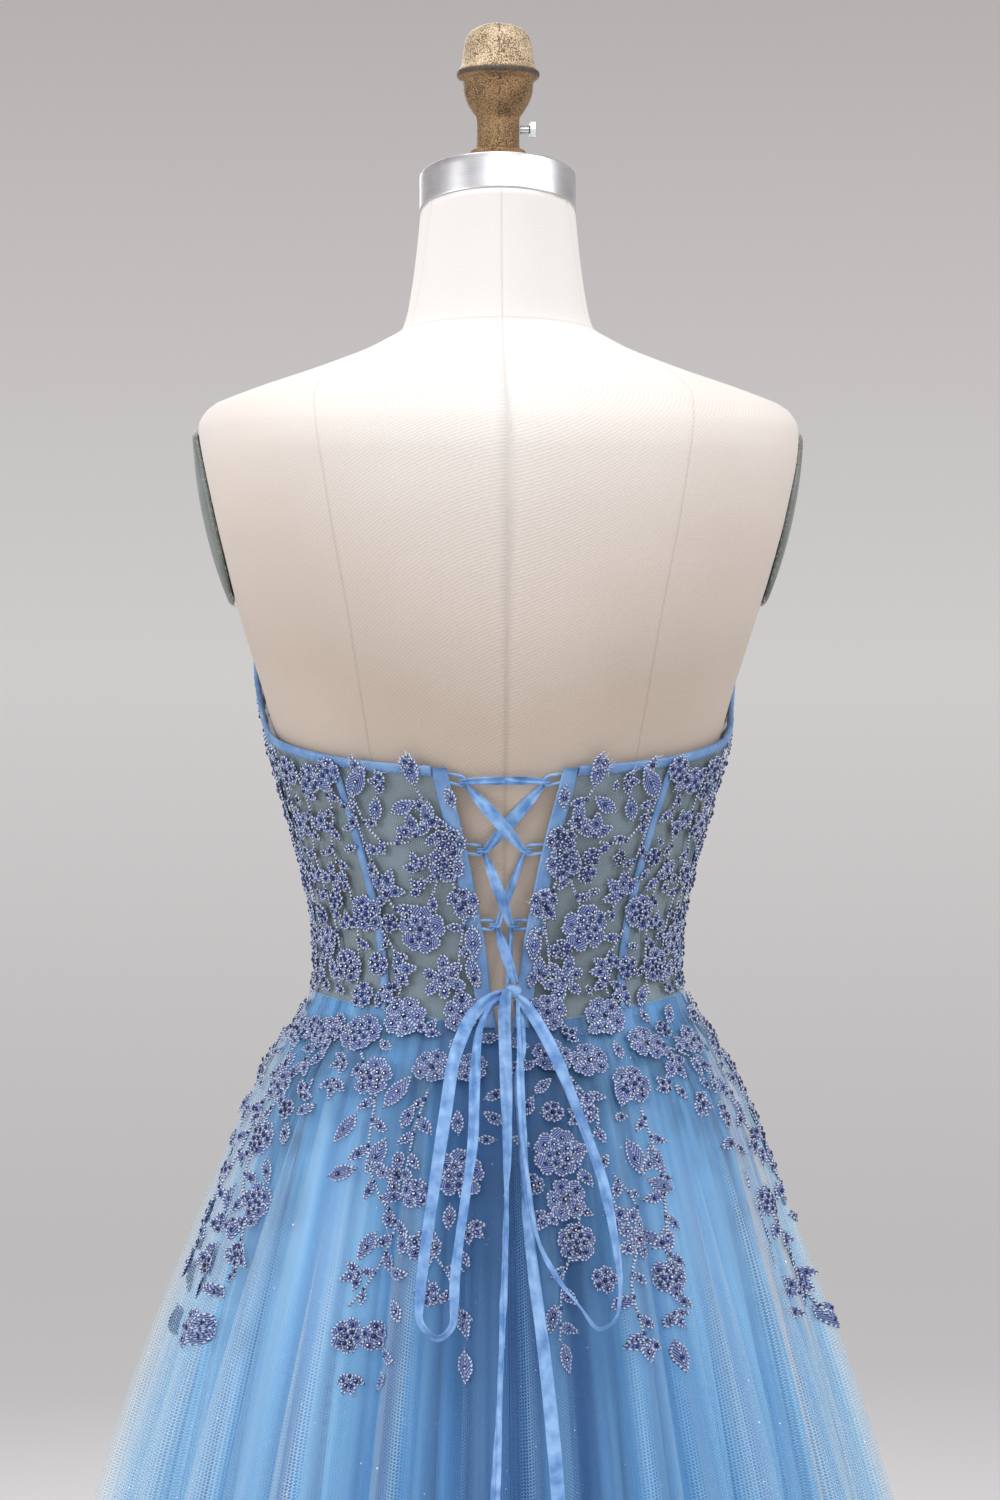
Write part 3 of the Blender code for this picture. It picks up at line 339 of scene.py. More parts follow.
def arm_frame(side):
    """The plane in which the arm is cut off: X up the cut, Y along the body, Z outwards."""
    low, high = (Vector((side * p.x, p.y, WAIST + p.z)) for p in (ARM_CUT_LOW, ARM_CUT_HIGH))
    up = (high - low).normalized()
    forward = Vector((0, -side, 0))
    outward = up.cross(forward).normalized()
    return Matrix.Translation((low + high) / 2) @ Matrix((up, forward, outward)).transposed().to_4x4()


def cut_arms(points):
    """Presses what lies beyond each arm's cut back onto it, with a soft edge."""
    for side in (-1, 1):
        place = np.array(arm_frame(side))
        out = (points - place[:3, 3]) @ place[:3, 2]
        pressed = (out - np.sqrt(out * out + ARM_CUT_SOFT ** 2)) / 2
        near = points[..., 0] * side > 0
        points = points + np.where(near, pressed - out, 0)[..., None] * place[:3, 2]
    return points


def princess_turn(height, column, front):
    """The turn of a seam that lies this far across the form at each height."""
    half_width, _, _, squareness = (at(height) for at in FORM_AT)
    share = np.clip(curve_through(PRINCESS, column)(height) / half_width, 0, 0.999)
    turn = np.degrees(np.arcsin(share ** (squareness / 2)))
    return 180 - turn if front else turn


def multiply_add(tree, first, second, third, clamp=False):
    return math_node(tree, "MULTIPLY_ADD", first, second, third, clamp)


def mix_colour(tree, factor, first, second, blend="MIX"):
    """Two colours mixed, or multiplied. The colour sockets of a Mix node are its seventh and eighth."""
    inputs = {0: factor, 6: first, 7: second}
    return add_node(tree, "ShaderNodeMix", inputs, data_type="RGBA", blend_type=blend).outputs[2]


def cloth_place(tree):
    """Places on the piece's own map, in metres along and across its threads."""
    return add_node(tree, "ShaderNodeUVMap", uv_map="cloth").outputs["UV"]


def add_bump(tree, shader, height, strength, distance):
    bump = add_node(tree, "ShaderNodeBump", {"Height": height, "Strength": strength, "Distance": distance})
    feed(shader, "Normal", bump.outputs["Normal"])


def closed_faces(tall, wide, turned=False):
    """The faces of rings of points and of two poles, which follow them. turned is for rings that run
    clockwise."""
    around = np.arange(wide)
    after = (around + 1) % wide
    count, last = tall * wide, (tall - 1) * wide
    caps = np.concatenate((stacked(after, around, count), stacked(last + around, last + after, count + 1)))
    grid = grid_faces(tall, wide, True)
    return [grid[:, ::-1], caps[:, [1, 0, 2]]] if turned else [grid, caps]


def finish_piece(obj, slot, *replaced):
    """Rides the piece on the one body, and hides the CAD nodes it stands for. Its slot is not used."""
    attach(obj, "root")
    if replaced:
        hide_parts(*replaced)
    return obj


def own_value(tree, name):
    """One of the mesh's own values, kept at its points."""
    return add_node(tree, "ShaderNodeAttribute", attribute_name=name).outputs["Fac"]


def set_value(obj, name, values):
    mark = obj.data.attributes.new(name, "FLOAT", "POINT")
    mark.data.foreach_set("value", np.asarray(values, np.float32).reshape(-1))


def linen_material():
    made, tree, shader = new_material("linen_twill", Roughness=0.85, Sheen_Weight=0.25, Sheen_Roughness=0.5)
    cloth = cloth_place(tree)
    place = object_place(tree)
    rib = add_node(tree, "ShaderNodeTexWave", {
        "Vector": cloth, "Scale": 0.5 / LINEN_TWILL / 1.6, "Distortion": 0.5, "Detail": 1.0,
        "Detail Scale": 2.0,
    }, bands_direction="DIAGONAL").outputs["Fac"]
    fine = noise(tree, cloth, 1100, 1.0)
    cloudy = noise(tree, place, 9, 4.0)
    up = add_node(tree, "ShaderNodeSeparateXYZ", {"Vector": place})
    # Painted light and staining: the twill is palest high up and near the middle, and darker low down and at
    # the sides.
    tall = multiply_add(tree, up.outputs["Z"], 1 / STAIN_AND_LIGHT_SPAN, -(WAIST + STAIN_AND_LIGHT_FROM) / STAIN_AND_LIGHT_SPAN, True)
    away = times(tree, math_node(tree, "ABSOLUTE", up.outputs["X"]), 1 / STAIN_AND_LIGHT_ACROSS)
    stain_and_light = math_node(tree, "SUBTRACT", times(tree, tall, 1.15), away, 0, True)
    stain_and_light = multiply_add(tree, cloudy, 0.25, stain_and_light, True)
    tone = ramp(tree, stain_and_light, LINEN_TONES)
    shade = multiply_add(tree, rib, 0.10, 0.93)
    shade = times(tree, shade, multiply_add(tree, fine, 0.22, 0.89))
    # Painted shade: the twill is painted darker along the seams' grooves.
    shade = times(tree, shade, multiply_add(tree, own_value(tree, "seam"), -0.13, 1.0))
    feed(shader, "Base Color", mix_colour(tree, 1.0, tone, shade, "MULTIPLY"))
    add_bump(tree, shader, rib, 0.35, 0.0002)
    return made


def add_form_body():
    near = np.array([0, 0.0006, 0.0013, 0.003, ALLOWANCE])
    rows = np.concatenate((
        np.linspace(-0.260, -0.050, 14), np.linspace(-0.045, 0.390, 112),
        NECK_SEAM + 0.0006 * np.arange(-5, 6), np.linspace(0.408, NECK_TOP, 20),
    ))
    flat = np.zeros_like(rows)
    back, front = princess_turn(rows, 1, False), princess_turn(rows, 2, True)
    seams = [flat, back, flat + 90, front, flat + 180, 360 - front, flat + 270, 360 - back, flat + 360]
    turns, distances = [], []
    for start, end in zip(seams, seams[1:]):
        reach = np.linalg.norm(figure((start + end) / 2, rows)[:, :2], axis=1)
        width = np.radians(end - start) * reach
        ends = np.minimum(near[:, None], width / 4 * np.arange(5)[:, None] / 5)
        middle = ends[-1] + (width - 2 * ends[-1]) * np.linspace(0, 1, 22)[1:-1, None]
        offsets = np.concatenate((ends, middle, width - ends[:0:-1]))
        turns.append(start + (end - start) * offsets / width)
        distances.append(np.minimum(offsets, width - offsets))
    turn, distance = np.concatenate(turns).T, np.concatenate(distances).T
    beside = smooth_step(1 - distance / ALLOWANCE) * ALLOWANCE_RISE
    seam = np.maximum(
        np.exp(-(distance / SEAM_HALF) ** 2), np.exp(-((rows[:, None] - NECK_SEAM) / SEAM_HALF) ** 2),
    )
    relief = beside - SEAM_DEPTH * seam
    points = cut_arms(figure_off(turn, rows[:, None], relief))
    uv = stacked(np.radians(turn) * MAP_RADIUS, rows[:, None])
    ends = np.concatenate((points[0].mean(0)[None], points[-1].mean(0)[None]))
    body = add_mesh(
        "form_body_linen", np.concatenate((points.reshape(-1, 3), ends)), closed_faces(*turn.shape, True),
        [linen_material()], np.concatenate((uv.reshape(-1, 2), [(0, 0), (0, 0)])),
    )
    set_value(body, "seam", np.concatenate((seam.reshape(-1), (0, 0))))
    finish_piece(body, "linen", "form_body")


add_form_body()

# ---- The arm plates and the cut edges ----
# Domed sheet-metal ovals, sprayed satin grey-green, close the arms. The twill is cut raw along each edge, so
# that loose threads stand out round it.

SIDES = (("left", 1), ("right", -1))
THREADS_A_SIDE, THREAD_LONG, THREAD_THICK = 150, 0.0042, 0.00013


def add_lathe(name, profile, count, finish, place=None):
    """A closed turned shape. The profile starts and ends on the axis, and its ends become single points."""
    poles = np.array([(0, 0, profile[0][1]), (0, 0, profile[-1][1])], float)
    points = np.concatenate((lathe_points(profile[1:-1], count).reshape(-1, 3), poles))
    if place is not None:
        turned = np.array(place)
        points = points @ turned[:3, :3].T + turned[:3, 3]
    return add_mesh(name, points, closed_faces(len(profile) - 2, count), [finish])


def mottled_material(name, scale, tones, detail=3.0, **values):
    """A material whose colour wanders through a ramp."""
    made, tree, shader = new_material(name, **values)
    place = object_place(tree)
    feed(shader, "Base Color", ramp(tree, noise(tree, place, scale, detail), tones))
    return made, tree, shader, place


def plate_material():
    made, tree, shader, place = mottled_material(
        "plate_paint", 35, [(0.3, (0.15, 0.175, 0.165)), (0.7, (0.22, 0.25, 0.24))],
        Roughness=0.42, Metallic=0.1,
    )
    add_bump(tree, shader, noise(tree, place, 700), 0.12, 0.0002)
    return made


def add_arm_plates():
    paint = plate_material()
    profile = [(0, 0), (0.94, 0), (0.985, 0.2 * PLATE_EDGE)]
    profile += [(1.0, 0.5 * PLATE_EDGE), (0.99, 0.9 * PLATE_EDGE)]
    for share in np.linspace(0.955, 0, 16):
        profile.append((share, 1.15 * PLATE_EDGE + (PLATE_DOME - 1.15 * PLATE_EDGE) * (1 - share ** 2.2)))
    for name, side in SIDES:
        place = arm_frame(side) @ Matrix.Translation((0, 0, -0.0004))
        place = place @ Matrix.Diagonal((PLATE_TALL, PLATE_WIDE, 1, 1))
        plate = add_lathe("arm_plate_" + name + "_domed", profile, 96, paint, place)
        finish_piece(plate, "plate", "arm_plate_" + name)


def start_tree(name, kinds):
    """A geometry tree with these named inputs, their identifiers, and what comes in through them."""
    tree = bpy.data.node_groups.new(name, "GeometryNodeTree")
    tree.interface.new_socket("Geometry", in_out="INPUT", socket_type="NodeSocketGeometry")
    sockets = {
        key: tree.interface.new_socket(key, in_out="INPUT", socket_type="NodeSocket" + kind).identifier
        for key, kind in kinds.items()
    }
    tree.interface.new_socket("Geometry", in_out="OUTPUT", socket_type="NodeSocketGeometry")
    return tree, sockets, add_node(tree, "NodeGroupInput").outputs


def end_tree(tree, points, shape, rotation, scale, finish):
    """Puts the shape on each point as real geometry, and gives it its finish."""
    placed = add_node(tree, "GeometryNodeInstanceOnPoints", {
        "Points": points, "Instance": shape.outputs["Mesh"], "Rotation": rotation.outputs["Rotation"],
        "Scale": scale,
    })
    real = add_node(tree, "GeometryNodeRealizeInstances", {"Geometry": placed.outputs["Instances"]})
    painted = add_node(
        tree, "GeometryNodeSetMaterial", {"Geometry": real.outputs["Geometry"], "Material": finish},
    )
    add_node(tree, "NodeGroupOutput", {"Geometry": painted.outputs["Geometry"]})


def placing_tree(name, shape, inputs):
    """A tree that puts one shape, a Blender primitive, on each point, turned and sized by the point's
    values."""
    kinds = {key: "Int" if isinstance(value, int) else "Float" for key, value in inputs.items()}
    tree, sockets, given = start_tree(name, {**kinds, "Finish": "Material"})
    primitive = add_node(tree, shape, {key: given[key] for key in inputs})
    facing, size = (
        add_node(tree, "GeometryNodeInputNamedAttribute", {"Name": key}, data_type="FLOAT_VECTOR")
        for key in ("facing", "size")
    )
    turned = add_node(tree, "FunctionNodeEulerToRotation", {"Euler": facing.outputs["Attribute"]})
    end_tree(tree, given["Geometry"], primitive, turned, size.outputs["Attribute"], given["Finish"])
    return tree, sockets


def apply_nodes(obj, tree, values, name):
    """Runs a tree on an object, and keeps the result as a plain mesh in the object's place."""
    modifier = obj.modifiers.new("nodes", "NODES")
    modifier.node_group = tree
    for identifier, value in values.items():
        modifier[identifier] = value
    evaluated = obj.evaluated_get(bpy.context.evaluated_depsgraph_get())
    mesh = bpy.data.meshes.new_from_object(evaluated)
    bpy.data.objects.remove(obj)
    return add_object(name, mesh)


def repeat_shape(name, shape, inputs, points, out, spin, size, finish):
    """One shape on each point, its Z along `out`, spun about it, and sized by three numbers."""
    mesh = bpy.data.meshes.new(name + "_points")
    mesh.from_pydata([tuple(point) for point in points], [], [])
    turned = [
        (Vector(direction).to_track_quat("Z", "Y").to_matrix() @ Matrix.Rotation(angle, 3, "Z")).to_euler()
        for direction, angle in zip(out, spin)
    ]
    for key, rows in (("facing", turned), ("size", size)):
        mark = mesh.attributes.new(key, "FLOAT_VECTOR", "POINT")
        mark.data.foreach_set("vector", np.array(rows, np.float32).reshape(-1))
    tree, sockets = placing_tree(name + "_nodes", shape, inputs)
    values = {sockets[key]: value for key, value in {**inputs, "Finish": finish}.items()}
    return apply_nodes(add_object(name + "_points", mesh), tree, values, name)


def add_thread_ends(name, slot, finish, thickness, length, points, out, shares, rng):
    """Loose ends of thread that thin towards their tips, each with its share of the full length."""
    ends = repeat_shape(
        name, "GeometryNodeMeshCone",
        {"Vertices": 3, "Radius Top": thickness[0], "Radius Bottom": thickness[1], "Depth": length},
        points, out, rng.uniform(0, 6, len(points)), stacked(1, 1, shares), finish,
    )
    finish_piece(ends, slot)


def add_loose_threads(cotton):
    rng = np.random.default_rng(11)
    points, out, shares = [], [], []
    for side in (-1, 1):
        frame_here = arm_frame(side)
        for angle in rng.uniform(0, 2 * math.pi, THREADS_A_SIDE):
            rim = Vector((PLATE_TALL * math.cos(angle), PLATE_WIDE * math.sin(angle), 0.0004))
            away = Vector((math.cos(angle), math.sin(angle), rng.uniform(-0.2, 1.4)))
            away = (away + Vector(rng.normal(0, 0.6, 3))).normalized()
            points.append(frame_here @ rim)
            out.append(frame_here.to_3x3() @ away)
            shares.append(rng.uniform(0.3, 1.0))
    thickness = THREAD_THICK / 2, THREAD_THICK
    add_thread_ends("arm_edge_threads", "linen", cotton, thickness, THREAD_LONG, points, out, shares, rng)


add_arm_plates()
cotton_thread, *_ = mottled_material(
    "cotton_thread", 90, [(0.3, (0.62, 0.55, 0.48)), (0.7, (0.82, 0.78, 0.73))], Roughness=0.9,
)
add_loose_threads(cotton_thread)

# ---- The neck fittings ----
# A spun steel cap closes the neck. A cast brass-painted finial stands on it and clamps the form to its pole
# with a zinc-plated hexagon screw.

BAND_RADIUS, BAND_HEIGHT, BAND_ROUND, BAND_GAP = 0.0493, 0.0235, 0.0012, 0.0003
FINIAL_BASE = 0.5035  # above the waist
# The finial: radius, and height above its base.
FINIAL = [
    (0.0175, -0.0040), (0.0175, 0.0118), (0.0160, 0.0130), (0.0137, 0.0138), (0.0134, 0.0240),
    (0.0136, 0.0325), (0.0166, 0.0378), (0.0199, 0.0435), (0.0218, 0.0495), (0.0225, 0.0560),
    (0.0249, 0.0580), (0.0262, 0.0596), (0.0262, 0.0614), (0.0246, 0.0636), (0.0230, 0.0662),
    (0.0224, 0.0705), (0.0217, 0.0760), (0.0204, 0.0826), (0.0188, 0.0857), (0.0157, 0.0886),
    (0.0110, 0.0911), (0.0055, 0.0924),
]
# The cup is painted darker than the cap, which starts this high: painted shade below, painted light on top.
# Grime lies on its rim.
CUP_SHADED_TONES = [(0.58, (0.07, 0.035, 0.016)), (0.67, (0.26, 0.15, 0.064)), (0.88, (0.44, 0.28, 0.135))]
CAP_LIT_TONES = [(0.58, (0.10, 0.062, 0.038)), (0.66, (0.47, 0.335, 0.19)), (0.86, (0.82, 0.68, 0.50))]
CAP_FROM, CAP_BLEND, RIM_FROM, GRIME_BLEND = 0.061, 0.003, 0.0252, 0.0009
SCREW_HEIGHT, SCREW_RADIUS, SCREW_HEAD, SCREW_REACH, SCREW_HEAD_THICK = 0.0260, 0.0030, 0.0055, 0.0062, 0.0042
SCREW_PITCH, STEM_RADIUS = 0.0009, 0.0137
NECK_THREADS = 44


def stretched(tree, place, scale):
    return add_node(tree, "ShaderNodeMapping", {"Vector": place, "Scale": scale}).outputs["Vector"]


def steel_material(name, tone, roughness):
    """Spun steel, with fine turning marks round Z and dull, handled patches."""
    made, tree, shader = new_material(name, Metallic=1.0, Anisotropic=0.4)
    place = object_place(tree)
    fine = noise(tree, stretched(tree, place, (30, 30, 3600)), 1.0, 2.0)
    dull = noise(tree, place, 45, 2.0)
    dark = tuple(0.80 * part for part in tone)
    tint = multiply_add(tree, fine, 0.5, times(tree, dull, 0.5))
    feed(shader, "Base Color", ramp(tree, tint, [(0.36, dark), (0.58, tone)]))
    rough = multiply_add(tree, fine, 0.08, multiply_add(tree, dull, 0.16, roughness - 0.08))
    feed(shader, "Roughness", rough)
    add_bump(tree, shader, fine, 0.03, 0.0002)
    return made


def gold_material():
    """Gold paint on a coarse sand casting: dark pits, a broken line where the mould's halves met, a grimy
    rim, and a cap painted paler than the cup below it as painted light."""
    made, tree, shader = new_material("aged_gold_paint", Metallic=0.35, Specular_IOR_Level=0.5)
    place = object_place(tree)
    split = add_node(tree, "ShaderNodeSeparateXYZ", {"Vector": place}).outputs
    worn = noise(tree, place, 60, 4.0)
    pits = noise(tree, place, 1150, 3.0)
    grain = multiply_add(tree, worn, 0.40, pits)
    cup, cap = (ramp(tree, grain, tones) for tones in (CUP_SHADED_TONES, CAP_LIT_TONES))
    # Painted light and shade: the cap is painted paler than the cup below it.
    cap_from = WAIST + FINIAL_BASE + CAP_FROM
    lit_cap_share = multiply_add(tree, split["Z"], 1 / CAP_BLEND, -cap_from / CAP_BLEND, True)
    tone = mix_colour(tree, lit_cap_share, cup, cap)
    wander = multiply_add(tree, noise(tree, place, 160, 2.0), 0.0022, -0.0011)
    beside = math_node(tree, "ABSOLUTE", math_node(tree, "ADD", split["X"], wander))
    parting = multiply_add(tree, beside, -1 / GRIME_BLEND, 1.0, True)
    parting = times(tree, parting, math_node(tree, "GREATER_THAN", noise(tree, place, 230, 1.0), 0.47))
    reach = math_node(tree, "SQRT", math_node(tree, "ADD", *(
        times(tree, split[axis], split[axis]) for axis in ("X", "Y")
    )))
    rim = multiply_add(tree, reach, 1 / GRIME_BLEND, -RIM_FROM / GRIME_BLEND, True)
    grime = math_node(tree, "MAXIMUM", times(tree, parting, 0.95), rim)
    lit = mix_colour(tree, times(tree, grime, 0.85), tone, (0.055, 0.048, 0.045, 1))
    feed(shader, "Base Color", lit)
    feed(shader, "Roughness", multiply_add(tree, worn, 0.30, 0.30))
    add_bump(tree, shader, pits, 0.7, 0.0010)
    return made


def neck_frame():
    """The neck's top plane: origin on the pole's axis, Z along the neck."""
    return Matrix.Translation((0, 0, WAIST + NECK_TOP)) @ Matrix.Rotation(NECK_TILT, 4, "X")


def summed(steps):
    """How far along each point is, from the steps between them."""
    return np.concatenate(([0], np.cumsum(steps)))


def smooth_profile(rows, count):
    """A profile resampled along a smooth curve through its rows, by its length."""
    length = summed(np.hypot(*np.diff(np.array(rows), axis=0).T))
    table = [(s, *row) for s, row in zip(length, rows)]
    places = np.linspace(0, length[-1], count)
    return list(zip(curve_through(table, 1)(places), curve_through(table, 2)(places)))


def add_neck_fittings():
    low, high, corner = BAND_GAP, BAND_GAP + BAND_HEIGHT, BAND_ROUND
    band = [(0, low), (BAND_RADIUS - corner / 2, low), (BAND_RADIUS, low + corner / 2)]
    band += [(BAND_RADIUS, height) for height in np.linspace(low + corner, high - corner, 6)]
    band += [
        (BAND_RADIUS - corner * (1 - math.cos(a)), high - corner * (1 - math.sin(a)))
        for a in np.radians((22, 45, 68, 90))
    ]
    band += [(0.7 * BAND_RADIUS, high + 0.0002), (0, high + 0.0003)]
    steel = steel_material("spun_steel", (0.70, 0.70, 0.73), 0.32)
    finish_piece(add_lathe("neck_band_spun", band, 128, steel, neck_frame()), "steel", "neck_band")
    profile = [(0, FINIAL[0][1])] + smooth_profile(FINIAL, 90) + [(0, 0.0928)]
    place = Matrix.Translation((0, 0, WAIST + FINIAL_BASE))
    finial = add_lathe("finial_cast", profile, 96, gold_material(), place)
    points = np.zeros(len(finial.data.vertices) * 3)
    finial.data.vertices.foreach_get("co", points)
    points = points.reshape(-1, 3)
    around = np.arctan2(points[:, 1], points[:, 0])
    rough = np.sin(9 * around + 300 * points[:, 2]) * np.sin(5 * around - 410 * points[:, 2] + 1)
    points[:, :2] *= 1 + 0.006 * rough[:, None]
    finial.data.vertices.foreach_set("co", points.reshape(-1))
    finish_piece(finial, "aged_gold", "finial")
    screw, core = [(0, 0)], 0.80 * SCREW_RADIUS
    for height in np.arange(0, SCREW_REACH, SCREW_PITCH):
        screw += [(SCREW_RADIUS, height + 0.15 * SCREW_PITCH), (core, height + 0.6 * SCREW_PITCH)]
    screw += [(core, SCREW_REACH), (0, SCREW_REACH)]
    head_top = SCREW_REACH + SCREW_HEAD_THICK
    head = [(0, SCREW_REACH), (0.95 * SCREW_HEAD, SCREW_REACH), (SCREW_HEAD, SCREW_REACH + 0.0003)]
    head += [(SCREW_HEAD, head_top - 0.0004), (0.93 * SCREW_HEAD, head_top), (0, head_top)]
    place = Matrix.Translation((-STEM_RADIUS, 0, WAIST + FINIAL_BASE + SCREW_HEIGHT))
    place = place @ Matrix.Rotation(-math.pi / 2, 4, "Y")
    zinc = steel_material("zinc_plate", (0.62, 0.65, 0.66), 0.30)
    finish_piece(add_lathe("finial_screw_thread", screw, 40, zinc, place), "zinc", "finial_screw")
    place = place @ Matrix.Rotation(math.pi / 6 + 0.06, 4, "Z")
    hexagon = add_lathe("finial_screw_head", head, 6, zinc, place)
    hexagon.data.shade_flat()
    finish_piece(hexagon, "zinc")


def add_neck_fray(cotton):
    """Loose threads of the twill that stick out under the band at the back right."""
    rng = np.random.default_rng(23)
    points, out, shares = [], [], []
    for angle in np.radians(rng.uniform(28, 62, NECK_THREADS)):
        away = Vector((-math.sin(angle), math.cos(angle), 0))
        up = Vector((0, 0, rng.uniform(-0.0012, 0.0006)))
        points.append(neck_frame() @ (away * (BAND_RADIUS - 0.0006) + up))
        direction = away * rng.uniform(0.5, 1.2) + Vector((rng.normal(0, 0.8), 0, rng.uniform(-0.4, 1.3)))
        out.append(neck_frame().to_3x3() @ direction.normalized())
        shares.append(rng.uniform(0.2, 0.6))
    thickness = THREAD_THICK / 2, 1.3 * THREAD_THICK
    add_thread_ends("neck_edge_threads", "linen", cotton, thickness, THREAD_LONG, points, out, shares, rng)


add_neck_fittings()
add_neck_fray(cotton_thread)

# ---- The stand ----
# A round cast-iron base with a socket, a steel pole, and the flange that carries the form. The skirt hides
# it, so it is plain and low.

BASE_RADIUS, BASE_HEIGHT = 0.190, 0.014
SOCKET_RADIUS, SOCKET_HEIGHT, SOCKET_NECK, POLE_RADIUS = 0.028, 0.060, 0.62, 0.0125
FLANGE_RADIUS, FLANGE_HEIGHT, STAND_GAP = 0.045, 0.012, 0.0003


def iron_material():
    made, tree, shader, place = mottled_material(
        "black_iron", 12, [(0.3, (0.012, 0.012, 0.013)), (0.7, (0.035, 0.034, 0.036))], 4.0, Metallic=0.3,
    )
    grain = noise(tree, place, 900, 2.0)
    feed(shader, "Roughness", multiply_add(tree, grain, 0.25, 0.35))
    add_bump(tree, shader, grain, 0.25, 0.0003)
    return made


def add_stand():
    iron = iron_material()
    slope = [(BASE_RADIUS - 0.012 * (1 - math.cos(a)), BASE_HEIGHT - 0.004 * (1 - math.sin(a)))
             for a in np.radians((0, 30, 60, 90))]
    base = [(0, 0), (BASE_RADIUS - 0.001, 0), (BASE_RADIUS, 0.001)]
    base += [*slope, (0.03, BASE_HEIGHT), (0, BASE_HEIGHT)]
    finish_piece(add_lathe("stand_base_cast", base, 128, iron), "iron", "stand_base")
    low = BASE_HEIGHT + STAND_GAP
    high = low + SOCKET_HEIGHT
    bore = POLE_RADIUS + STAND_GAP
    outside = [(SOCKET_RADIUS, low + 0.001), (SOCKET_RADIUS, low + 0.006)]
    for t in np.linspace(0.1, 1, 8):
        narrowed = SOCKET_RADIUS - (1 - SOCKET_NECK) * SOCKET_RADIUS * smooth_step(t)
        outside.append((narrowed, low + 0.006 + (SOCKET_HEIGHT - 0.008) * t))
    socket = [(0, low), (SOCKET_RADIUS - 0.001, low), *outside, (bore, high), (0, high)]
    finish_piece(add_lathe("stand_socket_cast", socket, 64, iron), "iron", "stand_socket")
    flange_low = WAIST + FORM[0][0] - STAND_GAP - FLANGE_HEIGHT
    pole = [(0, high + 0.0001), (POLE_RADIUS, high + 0.0001)]
    pole += [(POLE_RADIUS, flange_low - STAND_GAP), (0, flange_low)]
    steel = steel_material("pole_steel", (0.60, 0.60, 0.62), 0.25)
    finish_piece(add_lathe("stand_pole_drawn", pole, 48, steel), "steel", "stand_pole")
    flange_rows = [
        (0, 0), (0.5 * FLANGE_RADIUS, 0), (FLANGE_RADIUS - 0.001, 0.0062), (FLANGE_RADIUS, 0.0072),
    ]
    flange = [(radius, flange_low + up) for radius, up in flange_rows]
    flange += [(FLANGE_RADIUS, flange_low + FLANGE_HEIGHT - 0.001)]
    flange += [(FLANGE_RADIUS - 0.001, flange_low + FLANGE_HEIGHT), (0, flange_low + FLANGE_HEIGHT)]
    finish_piece(add_lathe("form_flange_cast", flange, 64, iron), "iron", "form_flange")


add_stand()

# ---- The bodice's net ----
# Seven panels of sheer hexagon net in dusty blue, cut apart at the princess and side seams, with a sweetheart
# edge in front and an open, laced back. They lie on the form by their cut alone, with a few soft creases.

EASE, CLOTH, TRIM, SEAM = 0.0029, 0.0015, 0.0010, 0.0003
# Turn, height.
TOP_EDGE = [
    (0, 0.127), (30, 0.132), (60, 0.141), (80, 0.150), (92, 0.164), (102, 0.188), (125, 0.222), (145, 0.222),
    (165, 0.196), (180, 0.176),
]
WAIST_SEAM = [(0, -0.031), (45, -0.019), (90, -0.014), (135, -0.020), (180, -0.034)]
# Height, half the width of the laced opening.
OPENING = [
    (-0.075, SEAM / 2), (-0.045, 0.0012), (-0.030, 0.0045), (-0.010, 0.0080), (0.010, 0.0100),
    (0.033, 0.0140), (0.072, 0.0215), (0.127, 0.0350),
]
BODICE_SEAMS = [(37, 45), (88, 91), (150, 138)]  # each seam's turn at the waist and at the top edge
# The net's creases: turn, height from and to, depth, and how far each leans in degrees for a metre up.
NET_CREASES = [
    (24, 0.030, 0.115, 0.0008, 60), (30, 0.015, 0.095, 0.0006, 45), (52, 0.020, 0.080, 0.0007, -40),
    (70, 0.050, 0.130, 0.0006, 30), (112, 0.020, 0.120, 0.0008, -35), (130, 0.040, 0.150, 0.0007, 25),
    (165, 0.000, 0.090, 0.0007, 20), (198, 0.010, 0.080, 0.0006, -30), (232, 0.030, 0.140, 0.0007, 35),
    (255, 0.030, 0.110, 0.0007, -25), (292, 0.060, 0.120, 0.0006, 30), (312, 0.020, 0.090, 0.0008, -50),
    (334, 0.025, 0.110, 0.0008, -65),
]
NET_CREASE_WIDE = 3.2
NET_CELL, NET_SOFTNESS = 0.0016, 0.5
HEXAGON = 1.1547  # a hexagon's width over its corners by its width over its sides
TOP_AT, WAIST_SEAM_AT, OPENING_AT = (curve_through(rows, 1) for rows in (TOP_EDGE, WAIST_SEAM, OPENING))


def from_back(turn):
    """A turn as 0 at the centre back to 180 at the centre front, on either side."""
    turn = np.mod(turn, 360)
    return np.minimum(turn, 360 - turn)


def opening_turn(height, extra=0.0):
    """The turn of the laced opening's edge, or of a line this much further from the centre."""
    height = np.asarray(height, float)
    wanted = OPENING_AT(height) + extra
    low, high = np.zeros_like(wanted), np.full_like(wanted, 60)
    for _ in range(24):
        middle = (low + high) / 2
        short = figure_off(middle, height, EASE)[..., 0] < wanted
        low, high = np.where(short, middle, low), np.where(short, high, middle)
    return low


def bodice_height(turn, up):
    """The height at a share of the way from the waist seam up to the top edge."""
    turn = from_back(turn)
    return WAIST_SEAM_AT(turn) + (TOP_AT(turn) - WAIST_SEAM_AT(turn)) * up


def place_turn(places, ups):
    """The turns of a grid on the bodice. Places 0 to 8 run from one edge of the opening round to the other.
    The whole numbers are the edge, the back princess seam, the side seam, the front one, the centre front, and
    back through the same seams on the other side."""
    ups = np.asarray(ups, float)
    opening = opening_turn(bodice_height(0, ups))
    seams = [opening] + [low + (high - low) * ups for low, high in BODICE_SEAMS] + [np.full_like(ups, 180)]
    seams = np.stack(seams + [360 - seam for seam in seams[-2::-1]], -1)
    whole = np.clip(np.floor(places).astype(int), 0, 7)
    share = places - whole
    return seams[:, whole] * (1 - share) + seams[:, whole + 1] * share


